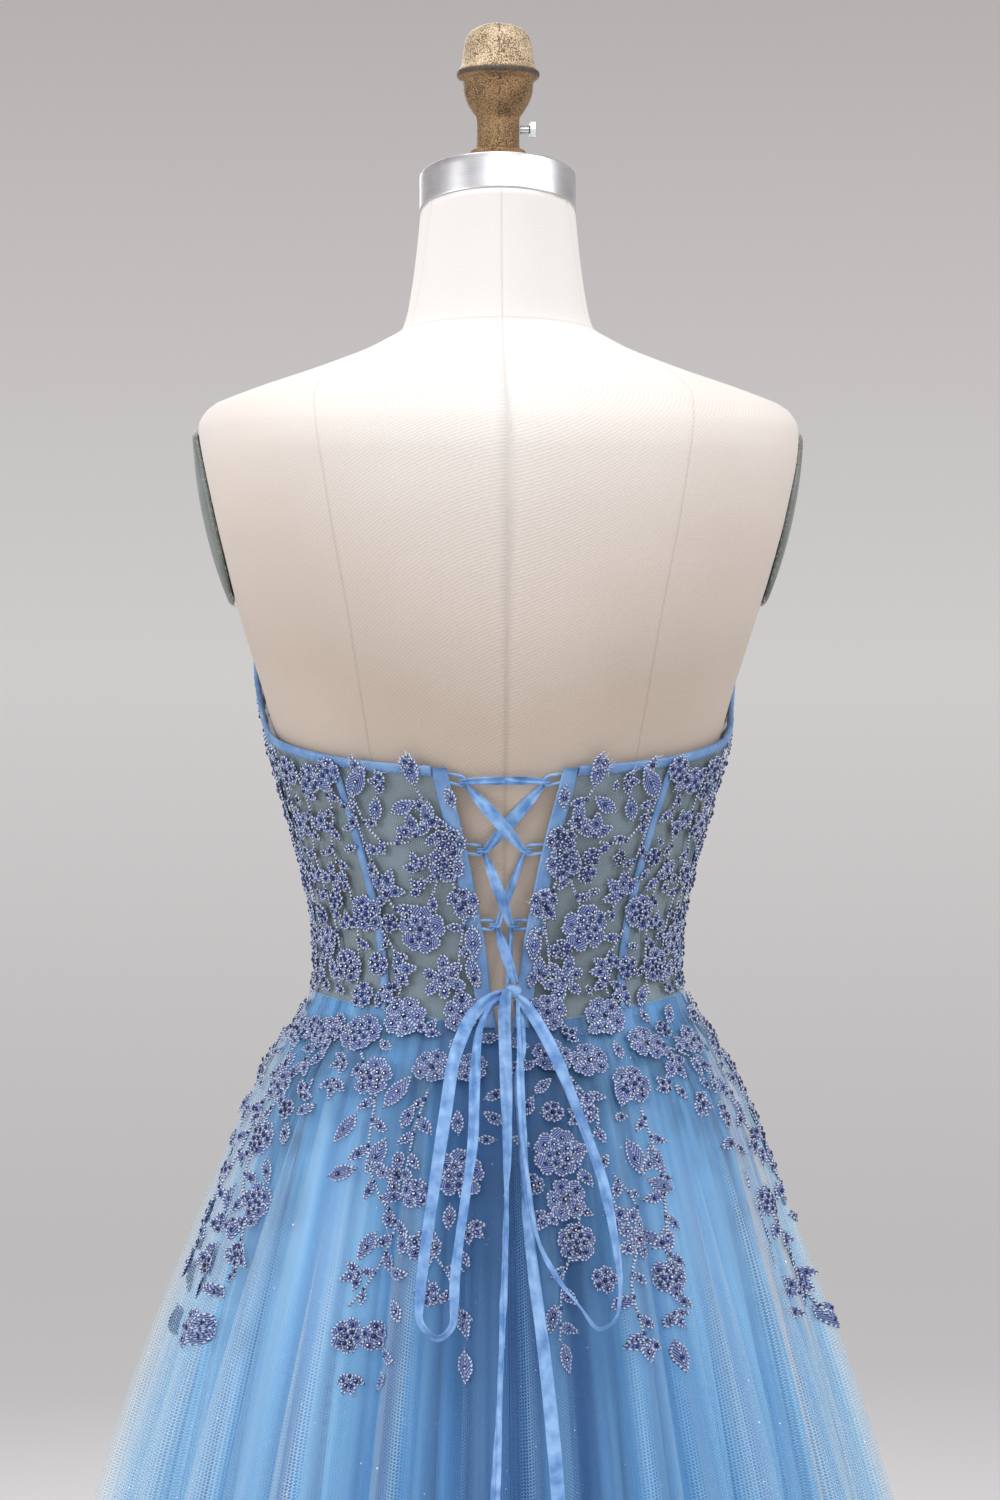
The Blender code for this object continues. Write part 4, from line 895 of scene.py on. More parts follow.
def hexagon_net(tree, cell, thickness):
    """1 on the threads of a hexagon net laid over the cloth's own map, 0 in its holes."""
    cloth = cloth_place(tree)
    wave = 2 * math.pi / cell * HEXAGON
    waves = []
    for angle in (0, 60, 120):
        direction = (math.cos(math.radians(angle)) * wave, math.sin(math.radians(angle)) * wave, 0)
        dot = add_node(tree, "ShaderNodeVectorMath", {0: cloth, 1: direction}, operation="DOT_PRODUCT")
        waves.append(math_node(tree, "COSINE", dot.outputs["Value"]))
    total = math_node(tree, "ADD", math_node(tree, "ADD", waves[0], waves[1]), waves[2])
    edge = 3 * thickness - 1.5
    spread = add_node(tree, "ShaderNodeMapRange", {
        "Value": total, "From Min": edge + NET_SOFTNESS, "From Max": edge - NET_SOFTNESS,
        "To Min": 0.0, "To Max": 1.0,
    })
    return spread.outputs["Result"]


def sheer(tree, shader, threads, thin, thick, packed):
    """What the cloth hides: thin is its holes' share, thick its threads', and packed makes both more."""
    alpha = multiply_add(tree, threads, thick - thin, thin)
    feed(shader, "Alpha", times(tree, alpha, packed, True))


def net_material(name, tone, dark, thin, thick, thickness):
    """Sheer net: thin is how much its holes hide, where a film of finer threads lies, and thick its
    threads."""
    made, tree, shader = new_material(
        name, Roughness=0.6, Specular_IOR_Level=0.25, Sheen_Weight=0.3, Sheen_Roughness=0.4,
    )
    threads = hexagon_net(tree, NET_CELL, thickness)
    cloudy = noise(tree, object_place(tree), 14, 2.0)
    feed(shader, "Base Color", ramp(tree, cloudy, [(0.3, dark), (0.7, tone)]))
    sheer(tree, shader, threads, thin, thick, multiply_add(tree, cloudy, 0.35, 0.82))
    return made


def net_creases(turn, height):
    """Soft creases that run up and back from the waist, uneven in length and depth."""
    creases = np.zeros_like(turn)
    for middle, low, high, deep, lean in NET_CREASES:
        across = (turn - middle - lean * (height - low)) / NET_CREASE_WIDE
        along = smooth_step((height - low) / 0.02) * smooth_step((high - height) / 0.03)
        creases = creases + deep * np.exp(-across * across) * along
    return creases


PANELS = [
    ("bodice_back_left", 0, 1), ("bodice_side_back_left", 1, 2), ("bodice_side_front_left", 2, 3),
    ("bodice_front", 3, 5), ("bodice_side_front_right", 5, 6), ("bodice_side_back_right", 6, 7),
    ("bodice_back_right", 7, 8),
]


def add_cloth(name, points, turn, height, radius, finish):
    """A panel from a grid of points, mapped in metres round at this radius and up."""
    uv = stacked(np.radians(turn) * radius, height)
    faces = [grid_faces(*turn.shape)[:, ::-1]]
    return add_mesh(name, points.reshape(-1, 3), faces, [finish], uv.reshape(-1, 2))


def add_bodice_net():
    net = net_material("bodice_net", (0.30, 0.43, 0.52), (0.20, 0.31, 0.38), 0.44, 0.95, 0.22)
    for name, start, end in PANELS:
        places, ups = np.linspace(start, end, 40 * (end - start) + 1), np.linspace(0, 1, 60)
        turn = place_turn(places, ups)
        height = bodice_height(turn, ups[:, None])
        points = figure_off(turn, height, EASE + CLOTH / 2 + net_creases(turn, height))
        panel = add_cloth(name + "_net", points, turn, height, MAP_RADIUS, net)
        finish_piece(panel, "mesh", name)


add_bodice_net()

# ---- The casings and the binding ----
# Satin channels, sewn down along both edges, hold the bones: one down each edge of the opening and one over
# every seam. A bias strip of the same satin is folded over the top edge.

CASING_WIDTH, SEAM_CASING_WIDTH, CASING_DOME, BINDING_HEIGHT = 0.0067, 0.0059, 0.0009, 0.0055
CASING_OFF = EASE + CLOTH + SEAM
CASING_THICK, CASING_SUNK, CASING_STEPS = 0.0003, 0.0002, 8
# The binding's section: height from the top edge, and distance off the form.
BINDING_SECTION = [
    (-BINDING_HEIGHT, 0.0044), (-BINDING_HEIGHT + 0.0004, 0.0054), (-0.0030, 0.0059), (-0.0008, 0.0060),
    (0.0003, 0.0055), (0.0006, 0.0045), (0.0003, 0.0034), (-0.0008, 0.0028), (-0.0030, 0.0028),
    (-BINDING_HEIGHT, 0.0029),
]
SEAM_CASING_TOP = 0.962  # share of the seam's height, so that the binding covers the casing's end
BINDING_STITCH_OFF, BINDING_MAP_RADIUS = 0.0058, 0.13
STITCH_PITCH, STITCH_LONG, STITCH_THICK, STITCH_IN = 0.0026, 0.0017, 0.00026, 0.0009


def satin_material(name, tone, dark, scale=1.0):
    """Polyester satin: fine threads along the cloth's own map, a long soft gloss, and rubbed, uneven
    creases."""
    made, tree, shader = new_material(
        name, Roughness=0.34, Specular_IOR_Level=0.55, Sheen_Weight=0.15, Sheen_Roughness=0.3,
        Anisotropic=0.5,
    )
    cloth = cloth_place(tree)
    place = object_place(tree)
    feed(shader, "Base Color", ramp(tree, noise(tree, place, 70 * scale), [(0.32, dark), (0.66, tone)]))
    fine = noise(tree, stretched(tree, cloth, (220, 3600, 1)), 1.0, 1.0)
    creased = multiply_add(tree, noise(tree, place, 260 * scale, 2.0), 2.2, fine)
    add_bump(tree, shader, creased, 0.30, 0.0004)
    return made


def strip_faces(tall, wide):
    """The faces of a closed strip: rings of points joined to each other, with a face over each end."""
    ends = np.stack((np.arange(wide), np.arange(wide)[::-1] + (tall - 1) * wide))
    return [grid_faces(tall, wide, True), ends]


def add_strip(name, rings, uv, finish, turned=False):
    """A closed strip from its rings of points. turned is for rings that run clockwise."""
    faces = strip_faces(*rings.shape[:2])
    if turned:
        faces = [face[:, ::-1] for face in faces]
    return add_mesh(name, rings.reshape(-1, 3), faces, [finish], uv.reshape(-1, 2))


def casing_profile(width):
    """A low rounded section: across, and height over its underside. It runs anticlockwise seen from its
    start."""
    across = np.linspace(-0.5, 0.5, CASING_STEPS + 1)
    over = stacked(across * width, CASING_THICK + CASING_DOME * (1 - np.abs(2 * across) ** 3))
    return np.concatenate((over, [(0.5 * width, 0), (-0.5 * width, 0)]))


def steps_along(line):
    return np.linalg.norm(np.diff(line, axis=0), axis=1)


def around_turn(turn, height, across):
    """The turn this far, in metres, round the form from another."""
    reach = np.linalg.norm(figure(turn, height)[..., :2], axis=-1)
    return turn + np.degrees(across / reach)


def add_stitches(name, lines, finish, slot):
    """Small stitches along lines of points."""
    points, out = [], []
    for line in lines:
        step = summed(steps_along(line))
        for place in np.arange(STITCH_PITCH / 2, step[-1], STITCH_PITCH):
            k = int(np.searchsorted(step, place)) - 1
            share = (place - step[k]) / (step[k + 1] - step[k])
            points.append(line[k] + (line[k + 1] - line[k]) * share)
            out.append(unit(line[k + 1] - line[k]))
    sizes = np.tile((STITCH_THICK, STITCH_THICK, STITCH_LONG / 2), (len(points), 1))
    ball = {"Radius": 1.0, "Subdivisions": 1}
    spin = np.zeros(len(points))
    stitches = repeat_shape(name, "GeometryNodeMeshIcoSphere", ball, points, out, spin, sizes, finish)
    finish_piece(stitches, slot)


def add_casings(satin, thread):
    lines = []
    for ending, side in SIDES:
        for place, name in enumerate(("back_edge", "back", "side", "front")):
            width = SEAM_CASING_WIDTH if place else CASING_WIDTH
            profile = casing_profile(width)
            ups = np.linspace(0, SEAM_CASING_TOP if place else 1.0, 48)
            seam = place_turn(np.array([float(place) if side > 0 else 8.0 - place]), ups)
            height = bodice_height(seam, ups[:, None])
            middle = (0 if place else width / 2) * side
            across = profile[:, 0][::-1] + middle
            turn = around_turn(seam, height, across[None, :])
            points = figure_off(turn, height, CASING_OFF - CASING_SUNK + profile[::-1, 1])
            uv = stacked(height, across[None, :])
            casing = add_strip(f"casing_{name}_{ending}_satin", points, uv, satin)
            finish_piece(casing, "satin", f"casing_{name}_{ending}")
            for edge in (-1, 1):
                inset = middle + edge * (width / 2 - STITCH_IN)
                line_turn = around_turn(seam, height, inset)[:, 0]
                off = CASING_OFF + CASING_DOME * 0.72
                lines.append(figure_off(line_turn, height[:, 0], off))
    add_stitches("casing_stitches", lines, thread, "satin")


def add_binding(satin, thread):
    """The strip's section is a flat loop round the net's raw edge, a little fuller at the fold."""
    places = np.linspace(0, 8, 401)
    edge = place_turn(places, np.array([1.0]))[0]
    height = TOP_AT(from_back(edge))
    start = around_turn(edge[:1], height[:1], CASING_WIDTH)[0]
    turn = np.clip(edge, start, 360 - start)
    height = TOP_AT(from_back(turn))
    drop, off = (np.array(column)[None, :] for column in zip(*BINDING_SECTION))
    ripple = 0.00018 * np.sin(turn * 2.3 + 2 * np.sin(turn * 0.31))[:, None]
    turns, heights, offs = np.broadcast_arrays(turn[:, None], height[:, None] + drop, off + ripple)
    points = figure_off(turns, heights, offs)
    uv = stacked(np.radians(turns) * BINDING_MAP_RADIUS, drop)
    finish_piece(add_strip("binding_top_satin", points, uv, satin, True), "satin", "binding_top")
    line = figure_off(turn, height - BINDING_HEIGHT + STITCH_IN, BINDING_STITCH_OFF)
    add_stitches("binding_stitches", [line], thread, "satin")


casing_satin = satin_material("casing_satin", (0.20, 0.37, 0.67), (0.10, 0.23, 0.50))
stitch_thread, *_ = mottled_material(
    "blue_thread", 300, [(0.3, (0.13, 0.26, 0.50)), (0.7, (0.28, 0.44, 0.72))],
    Roughness=0.5, Sheen_Weight=0.2,
)
add_casings(casing_satin, stitch_thread)
add_binding(casing_satin, stitch_thread)

# ---- The skirt ----
# An opaque taffeta lining and two sheer tulle layers, the outer one strewn with glitter. Each is cut as a
# front and two backs, gathered into the waist seam, and falls in uneven folds; the centre back stays open in
# a short slit.

HEM_CLEARANCE, WAIST_TURNED, GATHER = 0.018, 0.0012, 0.030
# Drop below the waist, half width, half depth, half a fold's depth.
LINING = [
    (0.010, 0.1130, 0.0850, 0.0002), (0.045, 0.1290, 0.1010, 0.0005), (0.082, 0.1420, 0.1145, 0.0010),
    (0.145, 0.1590, 0.1320, 0.0015), (0.246, 0.1840, 0.1560, 0.0030), (0.321, 0.1990, 0.1730, 0.0040),
    (0.600, 0.2480, 0.2330, 0.0080), (1.042, 0.3340, 0.3240, 0.0120),
]
UNDER_TULLE = [
    (0.010, 0.1150, 0.0870, 0.0003), (0.045, 0.1340, 0.1070, 0.0010), (0.082, 0.1520, 0.1270, 0.0020),
    (0.145, 0.1730, 0.1510, 0.0030), (0.246, 0.2010, 0.1840, 0.0050), (0.321, 0.2190, 0.2050, 0.0065),
    (0.600, 0.2800, 0.2720, 0.0110), (1.042, 0.3780, 0.3700, 0.0170),
]
OUTER_TULLE = [
    (0.010, 0.1170, 0.0890, 0.0004), (0.045, 0.1395, 0.1130, 0.0015), (0.082, 0.1610, 0.1370, 0.0030),
    (0.145, 0.1865, 0.1660, 0.0045), (0.246, 0.2195, 0.2040, 0.0065), (0.321, 0.2420, 0.2290, 0.0080),
    (0.600, 0.3150, 0.3060, 0.0130), (1.042, 0.4270, 0.4180, 0.0190),
]
# The main folds: the turn of each crest at the waist, its share of the full depth, the drop at which it
# begins, and how far it swings round by the hem.
FOLDS = [
    (4, 0.75, 0.03, 1.0), (11, 0.60, 0.10, -0.5), (18, 0.90, 0.02, 1.5), (25, 0.50, 0.16, 0.5),
    (32, 1.00, 0.04, 2.0), (41, 0.65, 0.12, -1.0), (49, 0.95, 0.05, 1.0), (56, 0.55, 0.20, 2.0),
    (65, 1.00, 0.06, 0.5), (75, 0.80, 0.03, 2.5), (83, 0.60, 0.14, -1.0), (93, 1.00, 0.05, 1.0),
    (104, 0.70, 0.18, 1.5), (112, 0.95, 0.04, -1.0), (123, 0.60, 0.10, 1.0), (131, 1.00, 0.03, 0.5),
    (142, 0.75, 0.15, -1.5), (152, 0.95, 0.05, 1.0), (163, 0.55, 0.12, 0.5), (171, 0.90, 0.02, -1.0),
    (181, 0.65, 0.16, 0.5), (190, 1.00, 0.04, 1.0), (201, 0.60, 0.11, -0.5), (209, 0.90, 0.05, 1.5),
    (220, 0.70, 0.18, 0.5), (228, 1.00, 0.03, -1.0), (239, 0.80, 0.09, 1.0), (248, 0.55, 0.14, -2.0),
    (257, 1.00, 0.04, 0.5), (268, 0.90, 0.06, -1.0), (278, 0.60, 0.15, -2.0), (286, 1.00, 0.04, -1.5),
    (296, 0.70, 0.10, 0.5), (304, 0.95, 0.03, -1.0), (314, 0.60, 0.18, -2.0), (322, 1.00, 0.05, -1.0),
    (330, 0.75, 0.12, 0.5), (338, 0.85, 0.03, -1.5), (346, 0.55, 0.15, -0.5), (354, 0.80, 0.04, -1.0),
]
# Roundness of a crest, depth of the valleys, and how far the under layers' folds lie round from the outer's.
FACE, VALLEY, TURN_SHIFT, LEAN = 0.85, 2.1, 0.9, 1.45
CENTRE_SHADE, CENTRE_WIDE, UPPER_LIGHT = 0.46, 18.5, 0.23  # the centre back is painted darker as shade among its close gathers; painted light pales the upper skirt beside it
# Each layer: sections, distance off the form at the seam, hem above the outer hem, shift of the folds, their
# depth, small folds and pleats all round, columns all round, and rows.
Layer = namedtuple("Layer", "sections off hem_up shift depth small pleats columns rows")
LAYERS = {
    "lining": Layer(LINING, EASE, 0.012, 2 * TURN_SHIFT, 0.9, 34, 120, 432, 38),
    "under_tulle": Layer(UNDER_TULLE, EASE + CLOTH + SEAM, 0.006, TURN_SHIFT, 1.0, 58, 170, 640, 46),
    "outer_tulle": Layer(OUTER_TULLE, EASE + 2 * (CLOTH + SEAM), 0.0, 0.0, 1.0, 74, 230, 960, 60),
}
LAYER_AT = {name: columns_of(layer.sections) for name, layer in LAYERS.items()}
RIDGE_MEAN, LESSER = 0.4, 0.75
PLEAT_DEEP, PLEAT_MEAN = 0.0017, 0.0006  # metres; lace bridges the pleats at their mean
SKIRT_MAP_RADIUS = 0.30
# Colours by how far up a fold, from its valley to its crest: painted shade in the valleys, painted light on
# the crests.
LINING_TONES = [(0.05, (0.018, 0.09, 0.30)), (0.42, (0.085, 0.32, 0.71)), (0.85, (0.26, 0.59, 0.96))]
UNDER_TONES = [(0.05, (0.05, 0.21, 0.52)), (0.5, (0.22, 0.57, 0.97)), (0.9, (0.52, 0.82, 1.0))]
OUTER_TONES = [(0.05, (0.16, 0.36, 0.64)), (0.5, (0.43, 0.74, 1.0)), (0.9, (0.76, 0.91, 1.0))]
GLITTER_DENSITY, GLITTER_WIDTH = 2600.0, 0.00055  # specks in a square metre, and half a speck's width


def ridge_share(turn, edges):
    """Which ridge a turn lies on, and its share of the way across it."""
    k = np.clip(np.searchsorted(edges, turn, side="right") - 1, 0, len(edges) - 2)
    return k, (turn - edges[k]) / (edges[k + 1] - edges[k])


def uneven_ridges(turn, count, seed, roundness):
    """Ridges all round, uneven in width and height: 0 in the valleys, and up to 1."""
    rng = np.random.default_rng(seed)
    widths = rng.uniform(0.5, 1.5, count)
    tall = rng.uniform(0.35, 1.0, count)
    k, share = ridge_share(np.mod(turn, 360), summed(widths) / widths.sum() * 360)
    return tall[k] * np.sin(np.pi * share) ** roundness


def main_folds(turn, drop):
    """The listed folds: -VALLEY between them, up to 1 on the fullest crests, and steeper on one side."""
    crests, depths, begins, swings = (np.array(column) for column in zip(*FOLDS))
    crests = np.concatenate((crests[-1:] - 360, crests, crests[:1] + 360))
    edges = (crests[:-1] + crests[1:]) / 2
    turn = np.mod(turn - edges[0], 360) + edges[0]
    swing = np.interp(turn, crests[1:-1], swings, period=360)
    k, share = ridge_share(np.mod(turn - swing * smooth_step(drop) - edges[0], 360) + edges[0], edges)
    share = np.where(k % 3 < 2, share ** LEAN, 1 - (1 - share) ** LEAN)
    grown = depths[k] * (0.25 + 0.75 * smooth_step((drop - begins[k]) / 0.22))
    return (1 + VALLEY) * grown * np.sin(np.pi * share) ** FACE - VALLEY


def fold_parts(name, turn, drop):
    """A layer's main folds, its lesser ones and its fine pleats."""
    layer = LAYERS[name]
    turn = turn + layer.shift
    drift = turn + 1.2 * np.sin(np.radians(2 * turn) + 6 * drop)
    lesser = uneven_ridges(drift, layer.small, layer.small, 0.9) - RIDGE_MEAN
    fine = uneven_ridges(drift, layer.pleats, layer.pleats, 0.8) - RIDGE_MEAN
    return main_folds(turn, drop), lesser, fine


def layer_relief(name, turn, drop, pleated=True):
    """How far a layer's folds and pleats stand out or in from its plain flare."""
    depth = LAYER_AT[name][2](drop)
    main, lesser, fine = fold_parts(name, turn, drop)
    near_waist = 0.25 + 0.75 * np.exp(-np.square(drop / 0.24))
    fine = PLEAT_DEEP * near_waist * smooth_step(drop / 0.06 + 0.35) * fine
    return LAYERS[name].depth * depth * main + LESSER * depth * lesser + (fine if pleated else PLEAT_MEAN)


def fold_marks(name, turn, drop):
    """Painted shade and light: 0 deep between the folds to 1 on their crests, darker at the centre back and
    paler high up beside it. Also how closely a slanting fold packs the net.
    """
    main, lesser, fine = fold_parts(name, turn, drop)
    painted_shading = 0.22 + 0.62 * (main + VALLEY) / (1 + VALLEY) + 0.42 * lesser + 0.22 * fine
    centre = np.exp(-np.square(from_back(turn) / CENTRE_WIDE))
    upper = np.exp(-np.square((drop - 0.15) / 0.10))
    # Painted shade at the centre back, and painted light high on the skirt beside it.
    painted_shading = painted_shading - CENTRE_SHADE * centre + UPPER_LIGHT * (1 - centre) * upper
    relief = layer_relief(name, turn, drop)
    radius = LAYER_AT[name][0](drop)
    slope = np.gradient(relief, axis=1) / (np.radians(np.gradient(turn, axis=1)) * radius)
    return np.clip(painted_shading, 0, 1), np.clip((np.sqrt(1 + slope * slope) - 1) / 1.2, 0, 1)


def skirt_point(name, turn, height, distance=0.0, pleated=True):
    """Points of a layer, or this far outside it. It hangs from the form at the waist seam."""
    turn, height = np.broadcast_arrays(np.asarray(turn, float), np.asarray(height, float))
    drop = -height
    half_width, half_depth = (at(drop) for at in LAYER_AT[name][:2])
    relief = layer_relief(name, turn, drop, pleated)
    x, y = ring_point(turn, half_width + relief, half_depth + relief, half_depth + relief, 2.1)
    plain = stacked(x, y)
    outward = unit(plain) * np.asarray(distance)[..., None]
    flared = np.concatenate((plain + outward, (WAIST + height)[..., None]), -1)
    hung = figure_off(turn, height, LAYERS[name].off + 0.3 * relief + distance)
    below = smooth_step((WAIST_SEAM_AT(from_back(turn)) - height) / GATHER)[..., None]
    return hung * (1 - below) + flared * below


def tulle_material(name, tones, thin, thick, thickness, cell):
    """Sheer tulle, painted paler on the crests of its folds and darker in their valleys as painted light and
    shade, denser on their slopes, with faintly cloudy colour."""
    made, tree, shader = new_material(
        name, Roughness=0.5, Specular_IOR_Level=0.3, Sheen_Weight=0.5, Sheen_Roughness=0.35,
    )
    shader.inputs["Sheen Tint"].default_value = (0.75, 0.87, 1.0, 1)
    cloudy = noise(tree, object_place(tree), 9, 1.0)
    # Painted shade in the folds' valleys and painted light on their crests.
    painted_shading = multiply_add(tree, cloudy, 0.24, math_node(tree, "ADD", own_value(tree, "painted_shading"), -0.12))
    feed(shader, "Base Color", ramp(tree, painted_shading, tones))
    threads = hexagon_net(tree, cell, thickness)
    sheer(tree, shader, threads, thin, thick, multiply_add(tree, own_value(tree, "packed"), 1.1, 0.75))
    return made


def lining_material():
    """Taffeta: fine cross ribs, a crisp low gloss, soft streaks down the cloth, and painted shade in the
    folds' valleys and painted light on their crests.
    """
    made, tree, shader = new_material(
        "taffeta_lining", Roughness=0.42, Specular_IOR_Level=0.45, Sheen_Weight=0.3, Sheen_Roughness=0.4,
    )
    cloth = cloth_place(tree)
    streaks = noise(tree, stretched(tree, cloth, (22, 1.2, 1)), 1.0, 2.0)
    # Painted shade in the folds' valleys and painted light on their crests.
    painted_shading = multiply_add(tree, streaks, 0.5, math_node(tree, "ADD", own_value(tree, "painted_shading"), -0.25))
    feed(shader, "Base Color", ramp(tree, painted_shading, LINING_TONES))
    ribs = add_node(tree, "ShaderNodeTexWave", {"Vector": cloth, "Scale": 500.0}, bands_direction="Y")
    add_bump(tree, shader, ribs.outputs["Fac"], 0.15, 0.0001)
    return made


def layer_rows(name, turn, count):
    """Heights from the waist seam to the hem, close together near the seam."""
    top = WAIST_SEAM_AT(from_back(turn)) + WAIST_TURNED
    hem = HEM_CLEARANCE + LAYERS[name].hem_up - WAIST
    share = np.linspace(0, 1, count)[::-1, None] ** 1.45
    return top + (hem - top) * share


def add_skirt():
    finishes = {
        "lining": lining_material(),
        "under_tulle": tulle_material("under_tulle", UNDER_TONES, 0.08, 0.50, 0.22, 0.0016),
        "outer_tulle": tulle_material("outer_tulle", OUTER_TONES, 0.04, 0.52, 0.20, 0.0019),
    }
    outer = []
    for name, finish in finishes.items():
        columns, rows = LAYERS[name].columns, LAYERS[name].rows
        for piece, start, end in (("back_left", 0, 90), ("front", 90, 270), ("back_right", 270, 360)):
            count = columns * (end - start) // 360 + 1
            share = np.linspace(0, 1, count)
            turn = np.broadcast_to(start + (end - start) * share, (rows, count))
            height = layer_rows(name, turn, rows)
            slit = np.degrees(np.maximum(OPENING_AT(height), 0.0) / LAYER_AT[name][0](-height))
            turn = turn + slit * ((1 - share) if start == 0 else 0) - slit * (share if end == 360 else 0)
            points = skirt_point(name, turn, height)
            panel = add_cloth(f"skirt_{name}_{piece}_cloth", points, turn, height, SKIRT_MAP_RADIUS, finish)
            for key, values in zip(("painted_shading", "packed"), fold_marks(name, turn, -height)):
                set_value(panel, key, values)
            finish_piece(panel, "lining" if name == "lining" else "tulle", f"skirt_{name}_{piece}")
            if name == "outer_tulle":
                outer.append(panel)
    return outer


def glitter_nodes():
    """A tree that strews small pyramids over a cloth, each tilted and sized by chance."""
    kinds = {"Density": "Float", "Width": "Float", "Seed": "Int", "Finish": "Material"}
    tree, sockets, given = start_tree("glitter_nodes", kinds)
    strewn = add_node(tree, "GeometryNodeDistributePointsOnFaces", {
        "Mesh": given["Geometry"], "Density": given["Density"], "Seed": given["Seed"],
    }).outputs
    speck = add_node(tree, "GeometryNodeMeshCone", {
        "Vertices": 3, "Radius Top": 0.0, "Radius Bottom": given["Width"],
        "Depth": times(tree, given["Width"], 0.5),
    })
    tilt = add_node(tree, "FunctionNodeRandomValue", {
        0: (-0.7, -0.7, 0.0), 1: (0.7, 0.7, 6.3), "Seed": given["Seed"],
    }, data_type="FLOAT_VECTOR")
    size = add_node(tree, "FunctionNodeRandomValue", {
        2: 0.55, 3: 1.25, "Seed": given["Seed"],
    }, data_type="FLOAT")
    turned = add_node(tree, "FunctionNodeEulerToRotation", {"Euler": tilt.outputs[0]})
    tilted = add_node(tree, "FunctionNodeRotateRotation", {
        "Rotation": strewn["Rotation"], "Rotate By": turned.outputs["Rotation"],
    }, rotation_space="LOCAL")
    end_tree(tree, strewn["Points"], speck, tilted, size.outputs[1], given["Finish"])
    return tree, sockets


def add_glitter(tulle):
    foil, *_ = mottled_material(
        "glitter_foil", 600, [(0.42, (0.50, 0.68, 0.92)), (0.56, (0.95, 0.97, 1.0))], 0.0,
        Metallic=0.9, Roughness=0.22,
    )
    nodes, sockets = glitter_nodes()
    for seed, panel in enumerate(tulle, 31):
        values = {"Density": GLITTER_DENSITY, "Width": GLITTER_WIDTH, "Seed": seed, "Finish": foil}
        source = add_object("glitter_cloth", panel.data.copy())
        name = panel.name.replace("outer_tulle", "glitter").replace("_cloth", "_foil")
        specks = apply_nodes(source, nodes, {sockets[key]: value for key, value in values.items()}, name)
        finish_piece(specks, "tulle")


outer_tulle = add_skirt()
add_glitter(outer_tulle)

# ---- The lace ----
# Corded lace, cut apart into sprays of flowers, leaves and vines, and sewn over the net and the outer tulle:
# raised cord outlines round fillings of slanting stitches. It runs a little over the top edge and the
# opening's edges.

LACE_OFF, LACE_OFF_TULLE = CASING_OFF + TRIM + 2 * SEAM, 0.0012
CORD_TALL, CORD_WIDE, FINE_TALL, FINE_WIDE, DOME, RAGGED = 0.0008, 0.0014, 0.0005, 0.0008, 0.0005, 0.00022
VINE_WIDE, VINE_STEP, VINE_TWIST = 0.0011, 0.0016, 0.0068
# The length of a vine's leaflets, and the distance between them.
BODICE_VINE, FRONT_VINE, SKIRT_VINE = (0.0105, 0.0125), (0.0110, 0.0130), (0.0125, 0.0120)
LAYER_LIFT, FILL_LIFT, LEAF_POINTS, LEAF_MIDDLE, LARGE_FLOWER = 0.0003, 0.00015, 18, 0.45, 0.0105
# Turn, and how far the lace hangs below the waist seam there.
LACE_HANG = [
    (0, 0.050), (9, 0.150), (14, 0.130), (20, 0.225), (27, 0.110), (33, 0.060), (40, 0.050), (52, 0.085),
    (64, 0.215), (74, 0.150), (84, 0.120), (96, 0.040), (118, 0.045), (130, 0.090), (142, 0.200),
    (154, 0.120), (166, 0.170), (174, 0.070), (180, 0.060),
]
# One side's motifs on the bodice: kind, turn, height and size in millimetres, and lean. The other side mirrors
# them. A vine is a row of turns and heights in millimetres.
BODICE_MOTIFS = [
    ("full", 24, 31, 16, 10), ("open", 17, 0, 14, 40), ("round", 28, -24, 14, 0), ("round", 11, -22, 13, 20),
    ("full", 14.5, 71, 11.5, 60), ("sprig", 22, 88, 16, 100), ("sprig", 35, 52, 17, 65),
    ("sprig", 33, 5, 15, 15), ("sprig", 29, 120, 11, 170), ("leaf", 41, 113, 23, 55),
    ("leaf", 47, 116, 17, 150), ("leaf", 20, 119, 17, 100), ("leaf", 17.5, 108, 17, -95),
    ("leaf", 28, 103, 17, 25), ("leaf", 34, 96, 16, 75), ("leaf", 14, 95, 15, 175), ("leaf", 10, 36, 15, 110),
    ("leaf", 9, 12, 17, -80), ("full", 43.5, 40, 12, 30), ("round", 47, 128, 9, 0),
    ("sprig", 38, -9, 13, -40), ("round", 56, 122, 10, 0), ("sprig", 56, 92, 14, 80), ("open", 56, 62, 11, 0),
    ("full", 54, 6, 12, 0), ("sprig", 52, 30, 12, 100), ("round", 68, 128, 10, 20), ("open", 69, 95, 12, 30),
    ("sprig", 67, 60, 13, 100), ("round", 66, 22, 11, 0), ("open", 80, 133, 11, 10), ("full", 79, 60, 12, 0),
    ("sprig", 79, 22, 13, 80), ("round", 86, 100, 10, 45), ("leaf", 73, 2, 15, 60), ("leaf", 61, -4, 15, 120),
    ("round", 10.2, 46, 9.5, 20), ("leaf", 8.2, 32, 20, -90), ("leaf", 6.6, -6, 12, 110),
    ("leaf", 12.2, 118, 13, -75), ("full", 13.0, 84, 10.5, 0), ("leaf", 11.4, 66, 11, -150),
    ("leaf", 19, 127, 12, 120), ("leaf", 23, 128, 11, 60), ("leaf", 36, 126, 12, 100),
]
BODICE_VINES = [
    [(20, 117), (16.5, 98), (15.5, 84), (17, 62), (21, 45)],
    [(40, 116), (38, 98), (31, 83), (24, 84)],
    [(41, 112), (39, 80), (36, 64), (33, 45), (27, 36)],
    [(38, 30), (33, 14), (31, -8), (35, -22)],
    [(13, 60), (10.5, 38), (12, 14), (13, -14)],
    [(52, 130), (49, 105), (53, 80), (49, 55), (48, 25), (49, -14)],
    [(63, 135), (60, 105), (64, 75), (61, 45), (58, 15), (59, -12)],
    [(74, 142), (72, 110), (76, 80), (73, 45), (70, 10), (69, -12)],
    [(86, 150), (83, 118), (86, 80), (84, 40), (80, 6), (77, -10)],
]
